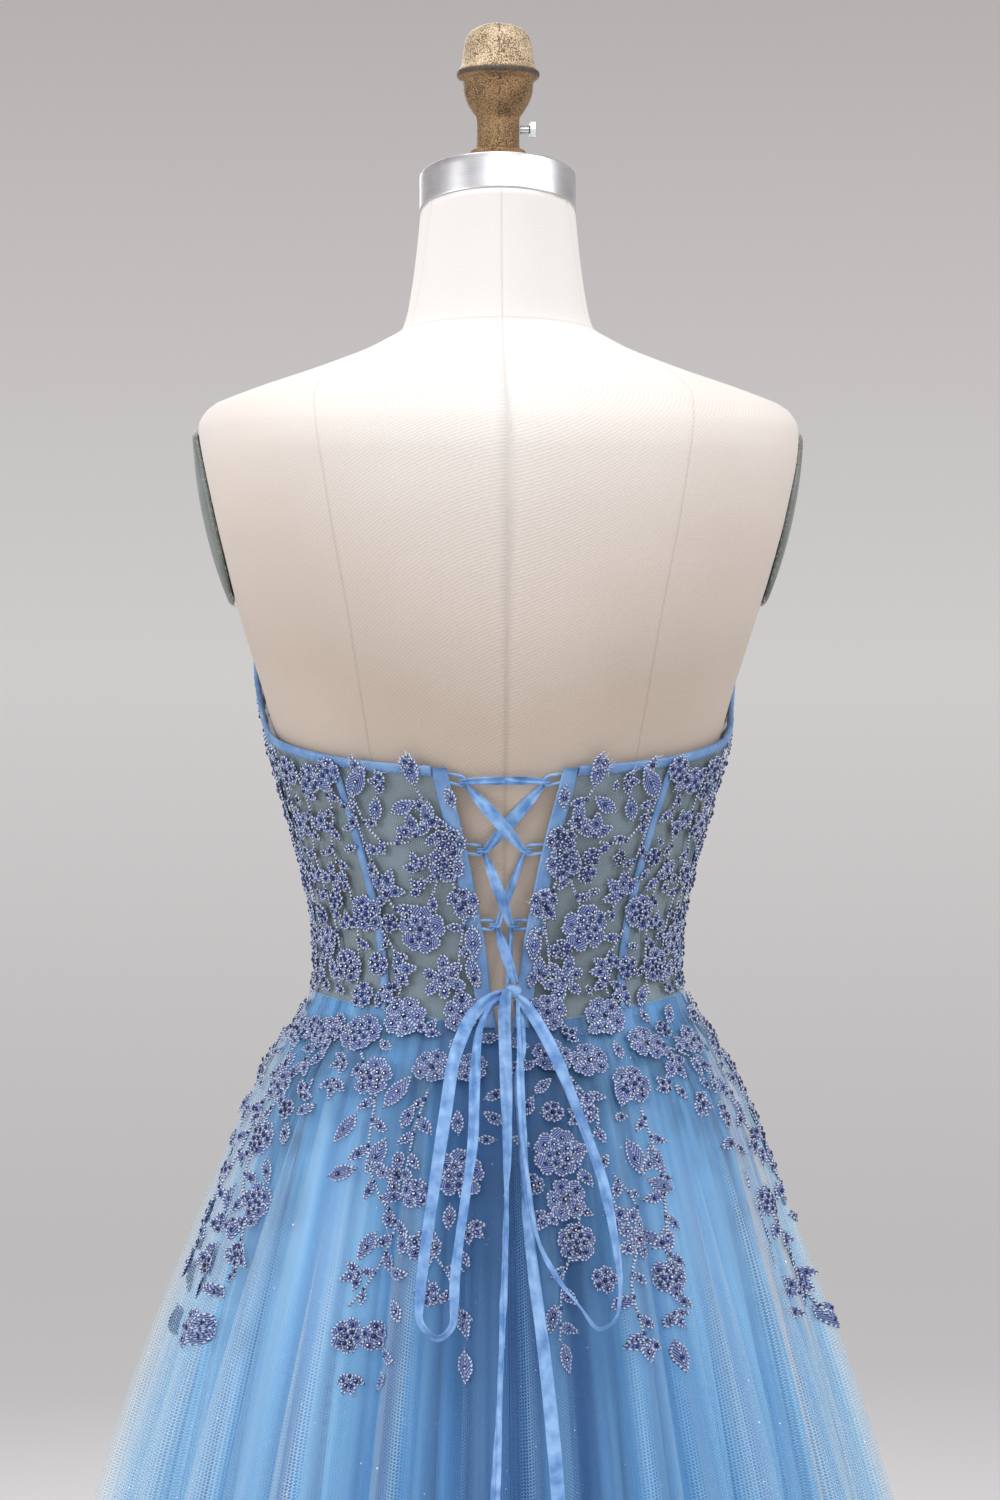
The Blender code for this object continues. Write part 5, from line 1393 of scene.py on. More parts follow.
# The skirt's, on the wearer's left and then on the right.
SKIRT_MOTIFS = [
    ("full", 41, -34, 15, 0), ("full", 32, -58, 14, 20), ("round", 17, -51, 14, 0),
    ("sprig", 21, -34, 13, 60), ("round", 8, -52, 12, 30), ("leaf", 27, -74, 23, 60),
    ("leaf", 25.5, -93, 23, -110), ("leaf", 33.5, -80, 21, -120), ("leaf", 31, -110, 20, -160),
    ("leaf", 22, -86, 16, 70), ("open", 22, -112, 13, 0), ("round", 17, -122, 10, 20),
    ("full", 9, -112, 17, 10), ("sprig", 7, -140, 13, -60), ("leaf", 24.5, -146, 19, -125),
    ("full", 14.5, -152, 11, 0), ("round", 13.5, -178, 9, 40), ("sprig", 27, -169, 13, -160),
    ("full", 27.5, -204, 12, 0), ("round", 22.5, -203, 10, 20), ("sprig", 26, -226, 13, -90),
    ("leaf", 8, -188, 16, -75), ("leaf", 7, -210, 18, -85), ("sprig", 49, -30, 14, -150),
    ("leaf", 50, -44, 16, -125), ("round", 56, -34, 11, 0), ("sprig", 61, -30, 15, -130),
    ("leaf", 57, -52, 17, -130), ("leaf", 63, -48, 17, -120), ("round", 64, -67, 11, 20),
    ("leaf", 68, -52, 16, -110), ("sprig", 69, -82, 14, -110), ("full", 63, -98, 13, 0),
    ("leaf", 58, -110, 16, -60), ("full", 57, -134, 14, 30), ("sprig", 62, -146, 14, -80),
    ("round", 59, -166, 9, 0), ("leaf", 70, -128, 17, -100), ("sprig", 76, -116, 14, -100),
    ("round", 78, -146, 10, 0), ("leaf", 76, -168, 18, -100), ("round", 80, -184, 9, 30),
    ("leaf", 78, -204, 20, -95), ("sprig", 84, -60, 13, -90), ("round", 80, -34, 11, 0),
    ("leaf", 88, -36, 15, -90), ("round", 72, -34, 10, 40), ("round", 118, -46, 12, 0),
    ("leaf", 108, -36, 16, -60), ("full", 130, -60, 13, 20), ("round", 141, -56, 12, 0),
    ("full", 142, -100, 14, 40), ("sprig", 138, -132, 14, -100), ("round", 143, -160, 11, 0),
    ("leaf", 141, -190, 19, -95), ("leaf", 146, -214, 18, -80), ("round", 154, -70, 12, 10),
    ("sprig", 155, -105, 14, -90), ("full", 166, -62, 14, 0), ("round", 165, -104, 12, 30),
    ("leaf", 168, -136, 19, -100), ("sprig", 165, -164, 13, -90), ("round", 175, -56, 11, 0),
    ("full", -11, -46, 14, 10), ("round", -20, -48, 14, 25), ("leaf", -22, -34, 16, 30),
    ("full", -30, -62, 14, 0), ("leaf", -25.5, -74, 22, 70), ("leaf", -25, -94, 23, -70),
    ("leaf", -30, -98, 20, -75), ("leaf", -28, -117, 19, -30), ("full", -9.5, -100, 17, 0),
    ("round", -10, -126, 14, 36), ("sprig", -15.5, -74, 14, 40), ("full", -11.5, -150, 13, 20),
    ("open", -23, -149, 14, 0), ("sprig", -18, -136, 14, 10), ("leaf", -30, -144, 18, -100),
    ("full", -28.5, -172, 12, 0), ("sprig", -28, -192, 13, -60), ("leaf", -27.5, -208, 18, -80),
    ("round", -16, -172, 9, 0), ("leaf", -6.5, -184, 16, -110), ("leaf", -7.5, -206, 18, -70),
    ("sprig", -21, -205, 14, -90), ("round", -39, -40, 14, 0), ("sprig", -45, -50, 16, -60),
    ("leaf", -51, -38, 17, -45), ("leaf", -56, -48, 17, -55), ("round", -60, -40, 11, 0),
    ("leaf", -61, -62, 18, -60), ("leaf", -66, -76, 18, -70), ("sprig", -68, -100, 14, -75),
    ("full", -65, -138, 13, 0), ("sprig", -67, -158, 14, -80), ("leaf", -68, -180, 17, -60),
    ("leaf", -70, -204, 19, -55), ("leaf", -75, -112, 17, -85), ("round", -74, -46, 10, 0),
    ("leaf", -82, -50, 16, -90), ("round", -88, -36, 10, 30), ("round", -118, -44, 12, 20),
    ("leaf", -106, -36, 16, -110), ("full", -130, -62, 13, 0), ("round", -141, -52, 12, 40),
    ("full", -143, -98, 14, 0), ("sprig", -139, -130, 14, -80), ("round", -142, -158, 11, 20),
    ("leaf", -140, -186, 19, -85), ("leaf", -145, -212, 18, -100), ("round", -154, -66, 12, 0),
    ("sprig", -155, -102, 14, -90), ("full", -166, -60, 14, 30), ("round", -164, -102, 12, 0),
    ("leaf", -167, -134, 19, -80), ("sprig", -166, -162, 13, -90),
]
SKIRT_VINES = [
    [(38, -44), (30, -68), (29, -100), (25, -124), (21, -140), (23, -164), (28, -188)],
    [(20, -142), (15, -150), (10, -170), (8, -196)], [(17, -64), (19, -92), (20, -124)],
    [(46, -30), (56, -46), (62, -74), (64, -110), (59, -150), (58, -178)],
    [(64, -34), (70, -70), (72, -108), (76, -150), (79, -196)],
    [(124, -50), (136, -74), (142, -120), (140, -170), (145, -208)],
    [(158, -52), (164, -82), (166, -124), (165, -172)],
    [(-14, -56), (-19, -80), (-13, -112), (-12, -144), (-8, -176), (-7, -204)],
    [(-30, -76), (-31, -112), (-30, -150), (-29, -186)],
    [(-20, -112), (-24, -136), (-20, -176), (-21, -208)],
    [(-42, -40), (-54, -50), (-63, -72), (-70, -106), (-73, -132)],
    [(-64, -144), (-68, -176), (-71, -208)],
    [(-124, -50), (-136, -70), (-142, -118), (-140, -166), (-144, -206)],
    [(-158, -52), (-165, -80), (-165, -122), (-166, -168)],
]
LACE_HANG_AT = curve_through(LACE_HANG, 1)
STONE = [(0.00155, 0.0002), (0.00150, 0.0007), (0.00062, 0.0013)]  # radius, and height over its seat
STONE_LIFT = 0.0009
LACE_ENDS, LACE_END_THICK, LACE_END_LONG = 260, (0.00006, 0.00016), 0.0052
CORD, FILLING = 0, 1
LacePart = namedtuple("LacePart", "turn height lift faces uv mark")
lace_parts, lace_stones, lace_spots = {}, [], []
lace_rng = np.random.default_rng(17)


def lace_place(turn, height, lift):
    """Points on the lace, this far over its net: over the bodice, and below the waist seam over the outer
    tulle."""
    turn, height, lift = np.broadcast_arrays(*(np.asarray(a, float) for a in (turn, height, lift)))
    seam = WAIST_SEAM_AT(from_back(turn))
    on_net = figure_off(turn, np.maximum(height, seam - 0.02), LACE_OFF + lift)
    lower = np.minimum(height, seam - 0.0005)
    on_tulle = skirt_point("outer_tulle", turn, lower, LACE_OFF_TULLE + lift, False)
    below = smooth_step((seam - height + 0.004) / 0.010)[..., None]
    return on_net * (1 - below) + on_tulle * below


SCALE_STEPS = 2.0, 0.005
SCALE_TURNS, SCALE_HEIGHTS = np.arange(-4, 365, SCALE_STEPS[0]), np.arange(-0.30, 0.235, SCALE_STEPS[1])


def scale_tables():
    """The metres of cloth in a degree round, and in a metre of height, on a coarse grid of the whole
    dress."""
    turn, height = np.meshgrid(SCALE_TURNS, SCALE_HEIGHTS, indexing="ij")
    wide = lace_place(turn + 4, height, 0) - lace_place(turn - 4, height, 0)
    tall = lace_place(turn, height + 0.006, 0) - lace_place(turn, height - 0.006, 0)
    return np.linalg.norm(wide, axis=-1) / 8, np.linalg.norm(tall, axis=-1) / 0.012


SCALES = scale_tables()


def cloth_scale(turn, height):
    across = (np.mod(turn, 360) - SCALE_TURNS[0]) / SCALE_STEPS[0]
    up = np.clip((height - SCALE_HEIGHTS[0]) / SCALE_STEPS[1], 0, len(SCALE_HEIGHTS) - 1.001)
    i, j = np.floor(across).astype(int), np.floor(up).astype(int)
    a, b = across - i, up - j
    return tuple(
        (table[i, j] * (1 - a) + table[i + 1, j] * a) * (1 - b)
        + (table[i, j + 1] * (1 - a) + table[i + 1, j + 1] * a) * b for table in SCALES
    )


def lace_piece(turn, height):
    """Which of the ten cut pieces of lace this place is on."""
    away, ending = from_back(turn), "left" if turn % 360 < 180 else "right"
    if height > WAIST_SEAM_AT(away) - 0.001:
        return f"lace_bodice_{'back' if away < 89 else 'front'}_{ending}"
    return f"lace_skirt_{'back' if away < 36.5 else 'side' if away < 100 else 'front'}_{ending}"


def keep_lace(piece, *values):
    lace_parts.setdefault(piece, []).append(LacePart(*values))


def keep_cord(piece, turn, height, scale, wide, lift, closed=True, tall=CORD_TALL):
    """A stitched cord along a line on the cloth: a low ridge with three sides."""
    count = len(turn)
    if closed:
        ahead = np.roll(turn, -1) - np.roll(turn, 1), np.roll(height, -1) - np.roll(height, 1)
    else:
        ahead = np.gradient(turn), np.gradient(height)
    along = unit(stacked(ahead[0] * scale[0], ahead[1] * scale[1]))
    length = summed(np.hypot(np.diff(turn) * scale[0][:-1], np.diff(height) * scale[1][:-1]))[:, None]
    side = np.array([-0.5, 0, 0.5])[None, :]
    turns = turn[:, None] - along[:, 1:] * side * wide / scale[0][:, None]
    heights = height[:, None] + along[:, :1] * side * wide / scale[1][:, None]
    lifts = np.broadcast_to(lift, (count,))[:, None] + np.array([0, tall, 0])[None, :]
    row = np.arange(count if closed else count - 1)[:, None]
    column = np.arange(3)[None, :]
    after, low, high = (column + 1) % 3, row * 3, (row + 1) % count * 3
    faces = [stacked(low + column, low + after, high + after, high + column).reshape(-1, 4)]
    if not closed:
        faces.append(np.array([(0, 2, 1), (count * 3 - 3, count * 3 - 2, count * 3 - 1)]))
    uv = stacked(length, side * 0.001).reshape(-1, 2)
    keep_lace(piece, turns.reshape(-1), heights.reshape(-1), lifts.reshape(-1), faces, uv, CORD)


def keep_fill(piece, turn, height, flat, middle, lift):
    """A petal's or leaf's filling: a low dome inside its outline."""
    count, base = len(turn), lift + FILL_LIFT
    turns, heights, lifts, maps = [], [], [], []
    for share, up in ((1.0, 0.0), (0.62, 0.75)):
        turns.append(middle[0] + (turn - middle[0]) * share)
        heights.append(middle[1] + (height - middle[1]) * share)
        lifts.append(np.full(count, base + DOME * up))
        maps.append(flat.mean(0) + (flat - flat.mean(0)) * share)
    row = np.arange(count)
    after = (row + 1) % count
    faces = [
        stacked(row, after, count + after, count + row)[:, ::-1],
        stacked(count + row, count + after, 2 * count)[:, ::-1],
    ]
    keep_lace(
        piece, np.concatenate((*turns, [middle[0]])), np.concatenate((*heights, [middle[1]])),
        np.concatenate((*lifts, [base + DOME])), faces, np.concatenate((*maps, [flat.mean(0)])), FILLING,
    )


def ragged(outline):
    """An outline whose stitches end unevenly: every other point a little in or out from its middle."""
    middle = outline.mean(0)
    reach = np.linalg.norm(outline - middle, axis=1, keepdims=True)
    uneven = RAGGED * (np.arange(len(outline)) % 2 * 2 - 1) + lace_rng.normal(0, 0.6 * RAGGED, len(outline))
    return outline + (outline - middle) / reach * uneven[:, None]


def petal_outline(length, width, notch, count):
    """Along and across a petal from its root: broadest towards its tip, which may be notched like a heart."""
    t = np.linspace(0, 2 * np.pi, count, endpoint=False)
    along = length * (0.5 - 0.5 * np.cos(t) - notch * np.exp(-np.square((t - np.pi) / 0.5)))
    across = width / 2 * np.sin(t) * (1 - 0.35 * np.cos(t)) / 1.08
    return stacked(along, across)


def leaf_outline(length, width, bend):
    """A pointed leaf, bent a little to one side at its tip."""
    t = np.linspace(0, 2 * np.pi, LEAF_POINTS, endpoint=False)
    share = 0.5 - 0.5 * np.cos(t)
    across = width / 2 * np.sin(np.pi * share ** 0.85) * np.sign(np.sin(t)) + bend * length * share ** 2
    return stacked(length * share, across)


def direction_of(lean):
    return math.cos(math.radians(lean)), math.sin(math.radians(lean))


def lay_shape(place, root, lean, outline, lift, stone, ring=False):
    """One petal or leaf: its root this far from the motif's place, its axis at a lean from the horizontal,
    and its stone at a share of its length."""
    turn, height, scale = place
    piece = lace_piece(turn, height)
    c, s = direction_of(lean)

    def laid(flat):
        along, across = np.atleast_2d(flat).T
        return turn - (along * c - across * s) / scale[0], height + (along * s + across * c) / scale[1]

    flat = ragged(outline) + (root, 0)
    turns, heights = laid(flat)
    scales = np.full(len(turns), scale[0]), np.full(len(turns), scale[1])
    keep_cord(piece, turns, heights, scales, CORD_WIDE, lift)
    middle = laid(flat.mean(0))
    keep_fill(piece, turns, heights, flat, (middle[0][0], middle[1][0]), lift)
    if ring:
        inner = flat.mean(0) + (flat - flat.mean(0)) * (0.52, 0.50)
        half = scales[0][::2], scales[1][::2]
        keep_cord(piece, *laid(inner[::2]), half, FINE_WIDE, lift + 0.0004, tall=FINE_TALL)
    spot = laid(flat.min(0) * (1 - stone, 0) + flat.max(0) * (stone, 0) + (0, flat[:, 1].mean()))
    lace_stones.append((spot[0][0], spot[1][0], lift + DOME * 0.8, lace_rng.uniform(0.85, 1.1)))


def layer_lift():
    """Neighbouring motifs lie at one of three heights, so that where they overlap they don't meet."""
    return LAYER_LIFT * (len(lace_spots) % 3)


def lay_flower(turn, height, size, lean, kind):
    """A flower on the cloth: round has broad notched petals, open has narrow ones, and full has a second
    ring."""
    place = (turn, height, cloth_scale(turn, height))
    lift = layer_lift()
    large = size > LARGE_FLOWER
    if kind == "open":
        petals, wide, notch = int(lace_rng.choice([4, 5, 6])), 0.62, 0.0
    else:
        petals, wide, notch = 5, 0.92, 0.14
    for k in range(petals):
        long = size * lace_rng.uniform(0.78, 0.92)
        outline = petal_outline(long, long * wide * 5 / max(petals, 5), notch, 16 if large else 12)
        turned = lean + 360 / petals * k + lace_rng.normal(0, 4)
        lay_shape(place, 0.10 * size, turned, outline, lift, 0.62, kind != "full" and large)
    if kind == "full":
        for k in range(petals):
            outline = petal_outline(size * 0.5, size * 0.40, 0.08, 10)
            turned = lean + 36 + 72 * k + lace_rng.normal(0, 6)
            lay_shape(place, 0.06 * size, turned, outline, lift + 0.0006, 0.6)
    lace_stones.append((turn, height, lift + STONE_LIFT, 1.15))


def lay_leaf(turn, height, size, lean, wide=0.46, veined=True):
    """A leaf from its root, with a cord down its middle."""
    place = (turn, height, cloth_scale(turn, height))
    lift = layer_lift()
    bend = lace_rng.uniform(-0.14, 0.14)
    lay_shape(place, 0.0, lean, leaf_outline(size, size * wide, bend), lift, 0.5)
    if veined:
        c, s = direction_of(lean)
        along = np.linspace(-0.12, 0.8, 7) * size
        across = bend * size * np.square(np.maximum(along, 0) / size)
        turns = turn - (along * c - across * s) / place[2][0]
        heights = height + (along * s + across * c) / place[2][1]
        scales = np.full(7, place[2][0]), np.full(7, place[2][1])
        piece = lace_piece(turn, height)
        keep_cord(piece, turns, heights, scales, FINE_WIDE, lift + 0.0005, False, FINE_TALL)


def lay_sprig(turn, height, size, lean):
    """Three or four leaflets that spread from one point."""
    leaflets = int(lace_rng.choice([3, 3, 4]))
    spread = 58 if leaflets == 3 else 44
    for k in range(leaflets):
        away = (k - (leaflets - 1) / 2) * spread
        lay_leaf(turn, height, size * (0.92 - 0.18 * abs(away) / 90), lean + away, 0.50, False)
    lace_stones.append((turn, height, 0.0008, 0.9))


def lay_motif(kind, turn, height, size, lean):
    size = size / 1000
    if kind == "leaf":
        lay_leaf(turn, height, size, lean)
    elif kind == "sprig":
        lay_sprig(turn, height, size, lean)
    else:
        lay_flower(turn, height, size, lean, kind)
    centre = lace_place(turn, height, 0)
    if kind in ("leaf", "sprig"):
        scale = cloth_scale(turn, height)
        reach = size * LEAF_MIDDLE
        c, s = direction_of(lean)
        centre = lace_place(turn - reach * c / scale[0], height + reach * s / scale[1], 0)
    lace_spots.append((*centre, size * (0.5 if kind == "leaf" else 0.62 if kind == "sprig" else 0.95)))


def path_points(rows, places):
    """Points of a smooth curve through rows of coordinates, at places along them counted in rows."""
    knots = [(float(k), *row) for k, row in enumerate(rows)]
    return np.stack([curve_through(knots, column + 1)(places) for column in range(len(rows[0]))], -1)


def lay_vine(rows, leaf, spacing):
    """Two cords twisted together along a line on the cloth, with stones on them and leaflets by turns."""
    long = sum(
        np.linalg.norm(lace_place(*a, 0) - lace_place(*b, 0)) for a, b in zip(rows, rows[1:])
    )
    count = max(int(long / VINE_STEP), 8)
    turn, height = path_points(rows, np.linspace(0, len(rows) - 1, count)).T
    scale = cloth_scale(turn, height)
    piece = lace_piece(turn[count // 2], height[count // 2])
    along = unit(stacked(np.gradient(turn) * scale[0], np.gradient(height) * scale[1]))
    travel = np.linspace(0, long, count) * 2 * np.pi / VINE_TWIST
    for strand in (0, np.pi):
        swing = 0.00042 * np.sin(travel + strand)
        over = 0.00022 * (1 + np.cos(travel + strand))
        keep_cord(
            piece, turn - along[:, 1] * swing / scale[0], height + along[:, 0] * swing / scale[1], scale,
            VINE_WIDE, over, False,
        )
    for k, place in enumerate(np.arange(spacing * 0.6, long - spacing * 0.2, spacing)):
        at = int(place / long * (count - 1))
        lace_stones.append((turn[at], height[at], STONE_LIFT, lace_rng.uniform(0.65, 0.95)))
        heading = math.degrees(math.atan2(along[at, 1], -along[at, 0]))
        lean = heading + (52 if k % 2 else -52) + lace_rng.normal(0, 8)
        lay_leaf(turn[at], height[at], leaf * lace_rng.uniform(0.75, 1.15), lean, 0.44, False)
        spot = lace_place(turn[at], height[at], 0)
        lace_spots.append((*spot, leaf * 0.5))


def fill_gaps(count, inside, least, seed):
    """Small leaves, sprigs and single stones in what is still bare, the barest places first."""
    rng = np.random.default_rng(seed)
    turn, height = np.array([inside(rng) for _ in range(count * 20)]).T
    place = lace_place(turn, height, 0)
    gap, seen = np.full(len(place), 1.0), 0
    for _ in range(count):
        for spot in lace_spots[seen:]:
            gap = np.minimum(gap, np.linalg.norm(place - spot[:3], axis=1) - spot[3])
        seen = len(lace_spots)
        best = int(np.argmax(gap))
        if gap[best] < least:
            break
        kind = rng.choice(["leaf", "sprig", "round"], p=[0.5, 0.3, 0.2])
        size = np.clip(gap[best] * 1000 * (0.9 if kind == "round" else 1.5), 6.5, 14)
        lean = rng.uniform(0, 360)
        shift = (0, 0)
        if kind != "round":
            scale = cloth_scale(turn[best], height[best])
            back = size / 1000 * LEAF_MIDDLE
            c, s = direction_of(lean)
            shift = c / scale[0] * back, s / scale[1] * back
        lay_motif(kind, turn[best] + shift[0], height[best] - shift[1], size, lean)


def on_front(turn, height):
    """The place at the front that answers to one at the back."""
    away = 180 - turn * 0.98
    low, high, top = (float(at) for at in (WAIST_SEAM_AT(turn), TOP_AT(turn), TOP_AT(away)))
    low_here = float(WAIST_SEAM_AT(away))
    return away, low_here + (height - low) / (high - low) * (top - low_here)


def in_metres(rows):
    return [(turn, height / 1000) for turn, height in rows]


def lay_lace():
    for side in (1, -1):
        shift = lace_rng.uniform(-0.6, 0.6, (len(BODICE_MOTIFS), 2))
        for (kind, turn, high, size, lean), (a, b) in zip(BODICE_MOTIFS, shift):
            height = high / 1000
            tilt = lean if side > 0 else 180 - lean
            place = side * (turn + a * (side < 0)), height + 0.002 * b
            lay_motif(kind, *place, size, tilt + (side < 0) * 14 * a)
            front = on_front(turn + 2 * b, height)
            lay_motif(kind, side * front[0], front[1], size * 1.08, 180 - tilt + 12 * b)
        for rows in map(in_metres, BODICE_VINES):
            lay_vine([(side * turn, height) for turn, height in rows], *BODICE_VINE)
            front = [on_front(*row) for row in rows]
            lay_vine([(side * turn, height) for turn, height in front], *FRONT_VINE)
    for kind, turn, height, size, lean in SKIRT_MOTIFS:
        tilt = lean if turn > 0 else 180 - lean
        lay_motif(kind, turn, height / 1000, size, tilt if kind in ("leaf", "sprig") and turn > 0 else lean)
    for rows in map(in_metres, SKIRT_VINES):
        lay_vine(rows, *SKIRT_VINE)

    def on_bodice(rng):
        turn = rng.uniform(0, 360)
        up = rng.uniform(0.03, 0.94)
        height = float(bodice_height(turn, up))
        edge = math.degrees((float(OPENING_AT(height)) + 0.006) / 0.105)
        return float(np.clip(turn, edge, 360 - edge)), height

    def on_skirt(rng):
        turn = rng.uniform(2, 358)
        away = from_back(turn)
        hang = float(LACE_HANG_AT(away)) * rng.uniform(0.05, 0.92) ** 1.2
        return turn, float(WAIST_SEAM_AT(away)) - hang

    fill_gaps(170, on_bodice, least=0.0036, seed=5)
    fill_gaps(150, on_skirt, least=0.0048, seed=6)


def thread_material(name, stitch_highlight, dark, wave, slant):
    """Shiny embroidery thread: stitches slant away from a middle line on the piece's own map, each
    painted light on its crest and dark in the gaps, as painted highlight and shade.
    """
    made, tree, shader = new_material(
        name, Roughness=0.38, Specular_IOR_Level=0.8, Sheen_Weight=0.08, Sheen_Roughness=0.3,
    )
    shader.inputs["Sheen Tint"].default_value = (0.88, 0.90, 1.0, 1)
    split = add_node(tree, "ShaderNodeSeparateXYZ", {"Vector": cloth_place(tree)})
    uneven = noise(tree, object_place(tree), 420, 1.0)
    across = math_node(tree, "ABSOLUTE", split.outputs["Y"])
    run = multiply_add(tree, across, slant, split.outputs["X"])
    turned = multiply_add(tree, uneven, 3.0, times(tree, run, 2 * math.pi / wave))
    stitch = multiply_add(tree, math_node(tree, "SINE", turned), 0.5, 0.5)
    # Painted highlight and shade: each stitch is light on its crest and dark between.
    tone = multiply_add(tree, stitch, 0.7, times(tree, uneven, 0.3))
    feed(shader, "Base Color", ramp(tree, tone, [(0.34, dark), (0.66, stitch_highlight)]))
    add_bump(tree, shader, stitch, 0.8, 0.0005)
    return made


def add_lace(cord):
    fill = thread_material("lace_filling", (0.22, 0.31, 0.70), (0.009, 0.022, 0.11), 0.0024, 1.5)
    for piece, parts in lace_parts.items():
        starts = summed([len(part.turn) for part in parts])
        turn, height, lift = (np.concatenate([part[k] for part in parts]) for k in range(3))
        quads, triangles, marks = [], [], ([], [])
        for start, part in zip(starts, parts):
            for face in part.faces:
                kind = 0 if face.shape[1] == 4 else 1
                (quads, triangles)[kind].append(face + start)
                marks[kind].append(np.full(len(face), part.mark))
        uv = np.concatenate([part.uv for part in parts])
        faces = [np.concatenate(quads), np.concatenate(triangles)]
        obj = add_mesh(
            piece + "_corded", lace_place(turn, height, lift), faces, [cord, fill], uv,
            np.concatenate(marks[0] + marks[1]),
        )
        finish_piece(obj, "lace", piece)
        surface = np.zeros(len(obj.data.polygons))
        obj.data.polygons.foreach_get("area", surface)
        finish = np.zeros(len(surface), np.int32)
        obj.data.polygons.foreach_get("material_index", finish)
        _, part, place, ending = piece.split("_")


def add_stones():
    """Small cut stones set on the lace: sapphire blue, with six sloping sides and a flat top that reflects
    the light and is also painted navy to white in patches as a painted glint."""
    sides, *_ = mottled_material(
        "sapphire_sides", 160, [(0.35, (0.003, 0.008, 0.05)), (0.68, (0.018, 0.045, 0.20))], 1.0,
        Roughness=0.10, Specular_IOR_Level=0.35,
    )
    # Painted glint: the tops' colour runs from navy to white in patches, on top of what they reflect.
    painted_glint_top, *_ = mottled_material(
        "sapphire_tops_painted_glint", 330,
        [(0.42, (0.010, 0.028, 0.14)), (0.51, (0.22, 0.38, 0.80)), (0.58, (1.0, 1.0, 1.0))], 1.0,
        Roughness=0.06, Metallic=0.6, Specular_IOR_Level=0.6,
    )
    turn, height, lift, size = np.array(lace_stones).T
    low, high = lace_place(turn, height, lift), lace_place(turn, height, lift + 0.0024)
    rng = np.random.default_rng(8)
    out = unit(unit(high - low) + rng.normal(0, 0.07, low.shape))
    right = unit(np.cross(out, (0.0, 0.0, 1.0)))
    ahead = np.cross(out, right)
    angle = rng.uniform(0, 6, len(out))[:, None] + np.arange(6) * math.pi / 3
    spread = right[:, None] * np.cos(angle)[..., None] + ahead[:, None] * np.sin(angle)[..., None]
    rings = [
        low[:, None] + size[:, None, None] * (spread * reach + out[:, None] * up) for reach, up in STONE
    ]
    upper = height > WAIST_SEAM_AT(from_back(turn))
    for name, mine in (("bodice_stones", upper), ("skirt_stones", ~upper)):
        count = int(mine.sum())
        points = np.concatenate([ring[mine] for ring in rings], 1).reshape(-1, 3)
        first = np.arange(count)[:, None, None] * 6 * len(rings)
        corner = np.arange(6)[None, :]
        slopes = [
            first + stacked(corner, (corner + 1) % 6, (corner + 1) % 6 + 6, corner + 6) + 6 * k
            for k in range(len(rings) - 1)
        ]
        tops = first[:, :, 0] + corner + 6 * (len(rings) - 1)
        slopes = np.concatenate(slopes, 1).reshape(-1, 4)
        marks = np.concatenate((np.zeros(len(slopes)), np.ones(count)))
        stones = add_mesh(name, points, [slopes, tops], [sides, painted_glint_top], marks=marks, smooth=False)
        finish_piece(stones, "lace")


def add_lace_ends(thread):
    """Loose ends of embroidery thread that stand off the lace along the top edge and the opening's edges."""
    near_opening = [parts for name, parts in lace_parts.items() if "bodice_back" in name]
    cords = [part for parts in near_opening for part in parts if part.mark == CORD]
    turn, height, lift = (np.concatenate([part[k] for part in cords]) for k in range(3))
    away = from_back(turn)
    near = (height > TOP_AT(away) - 0.006) | (away < opening_turn(height, 0.006))
    rng = np.random.default_rng(31)
    pick = rng.choice(np.flatnonzero(near), LACE_ENDS, replace=False)
    root = lace_place(turn[pick], height[pick], lift[pick])
    off = unit(lace_place(turn[pick], height[pick], lift[pick] + 0.003) - root)
    out = unit(off * 0.5 + rng.normal(0, 0.7, root.shape) + (0, 0, 0.4))
    shares = rng.uniform(0.3, 1.0, LACE_ENDS)
    add_thread_ends("lace_thread_ends", "lace", thread, LACE_END_THICK, LACE_END_LONG, root, out, shares, rng)


lay_lace()
lace_cord = thread_material("lace_cord", (0.80, 0.88, 1.0), (0.06, 0.105, 0.31), 0.0023, 1.3)
add_lace(lace_cord)
add_stones()
add_lace_ends(lace_cord)

# ---- The button loops and the lacing ----
# Three satin rouleau loops a side are caught under the opening's edges. One soft satin ribbon runs through
# them from a bar across the top, crosses itself three times and ends in a small knot below the last loops.

# Height, and how far the loop reaches over the opening.
LOOPS = [(0.1205, 0.0095), (0.0785, 0.0100), (0.0325, 0.0085)]
LOOP_LEG, LOOP_WIRE, LACING_OFF, RIBBON = 0.0028, 0.0010, 0.0042, 0.0080
LOOP_RISE, LOOP_TUCK = (0.0020, 0.0010, 0.0004), 0.0020
KNOT, KNOT_OFF, KNOT_HALF = (-0.0043, -0.0094), 0.0120, (0.0058, 0.0038, 0.0044)
THREADED = 0.32  # share of its width to which the ribbon is drawn together inside a loop
RIBBON_THICK, RIBBON_STEPS = 0.00024, 9
RIBBON_ACROSS = np.array([-0.5, -0.47, -0.36, -0.24, -0.12, 0, 0.12, 0.24, 0.36, 0.47, 0.5])


def carried_frames(line, across, twist):
    """Directions across and off a ribbon, carried along its line without turning and then twisted."""
    along = unit(np.gradient(line, axis=0))
    flat, sides = np.array(across, float), []
    for direction in along:
        flat = flat - direction * (flat @ direction)
        flat = flat / np.linalg.norm(flat)
        sides.append(flat)
    sides = np.array(sides)
    off = np.cross(along, sides)
    angle = np.radians(twist)[:, None]
    return sides * np.cos(angle) + off * np.sin(angle), off * np.cos(angle) - sides * np.sin(angle)


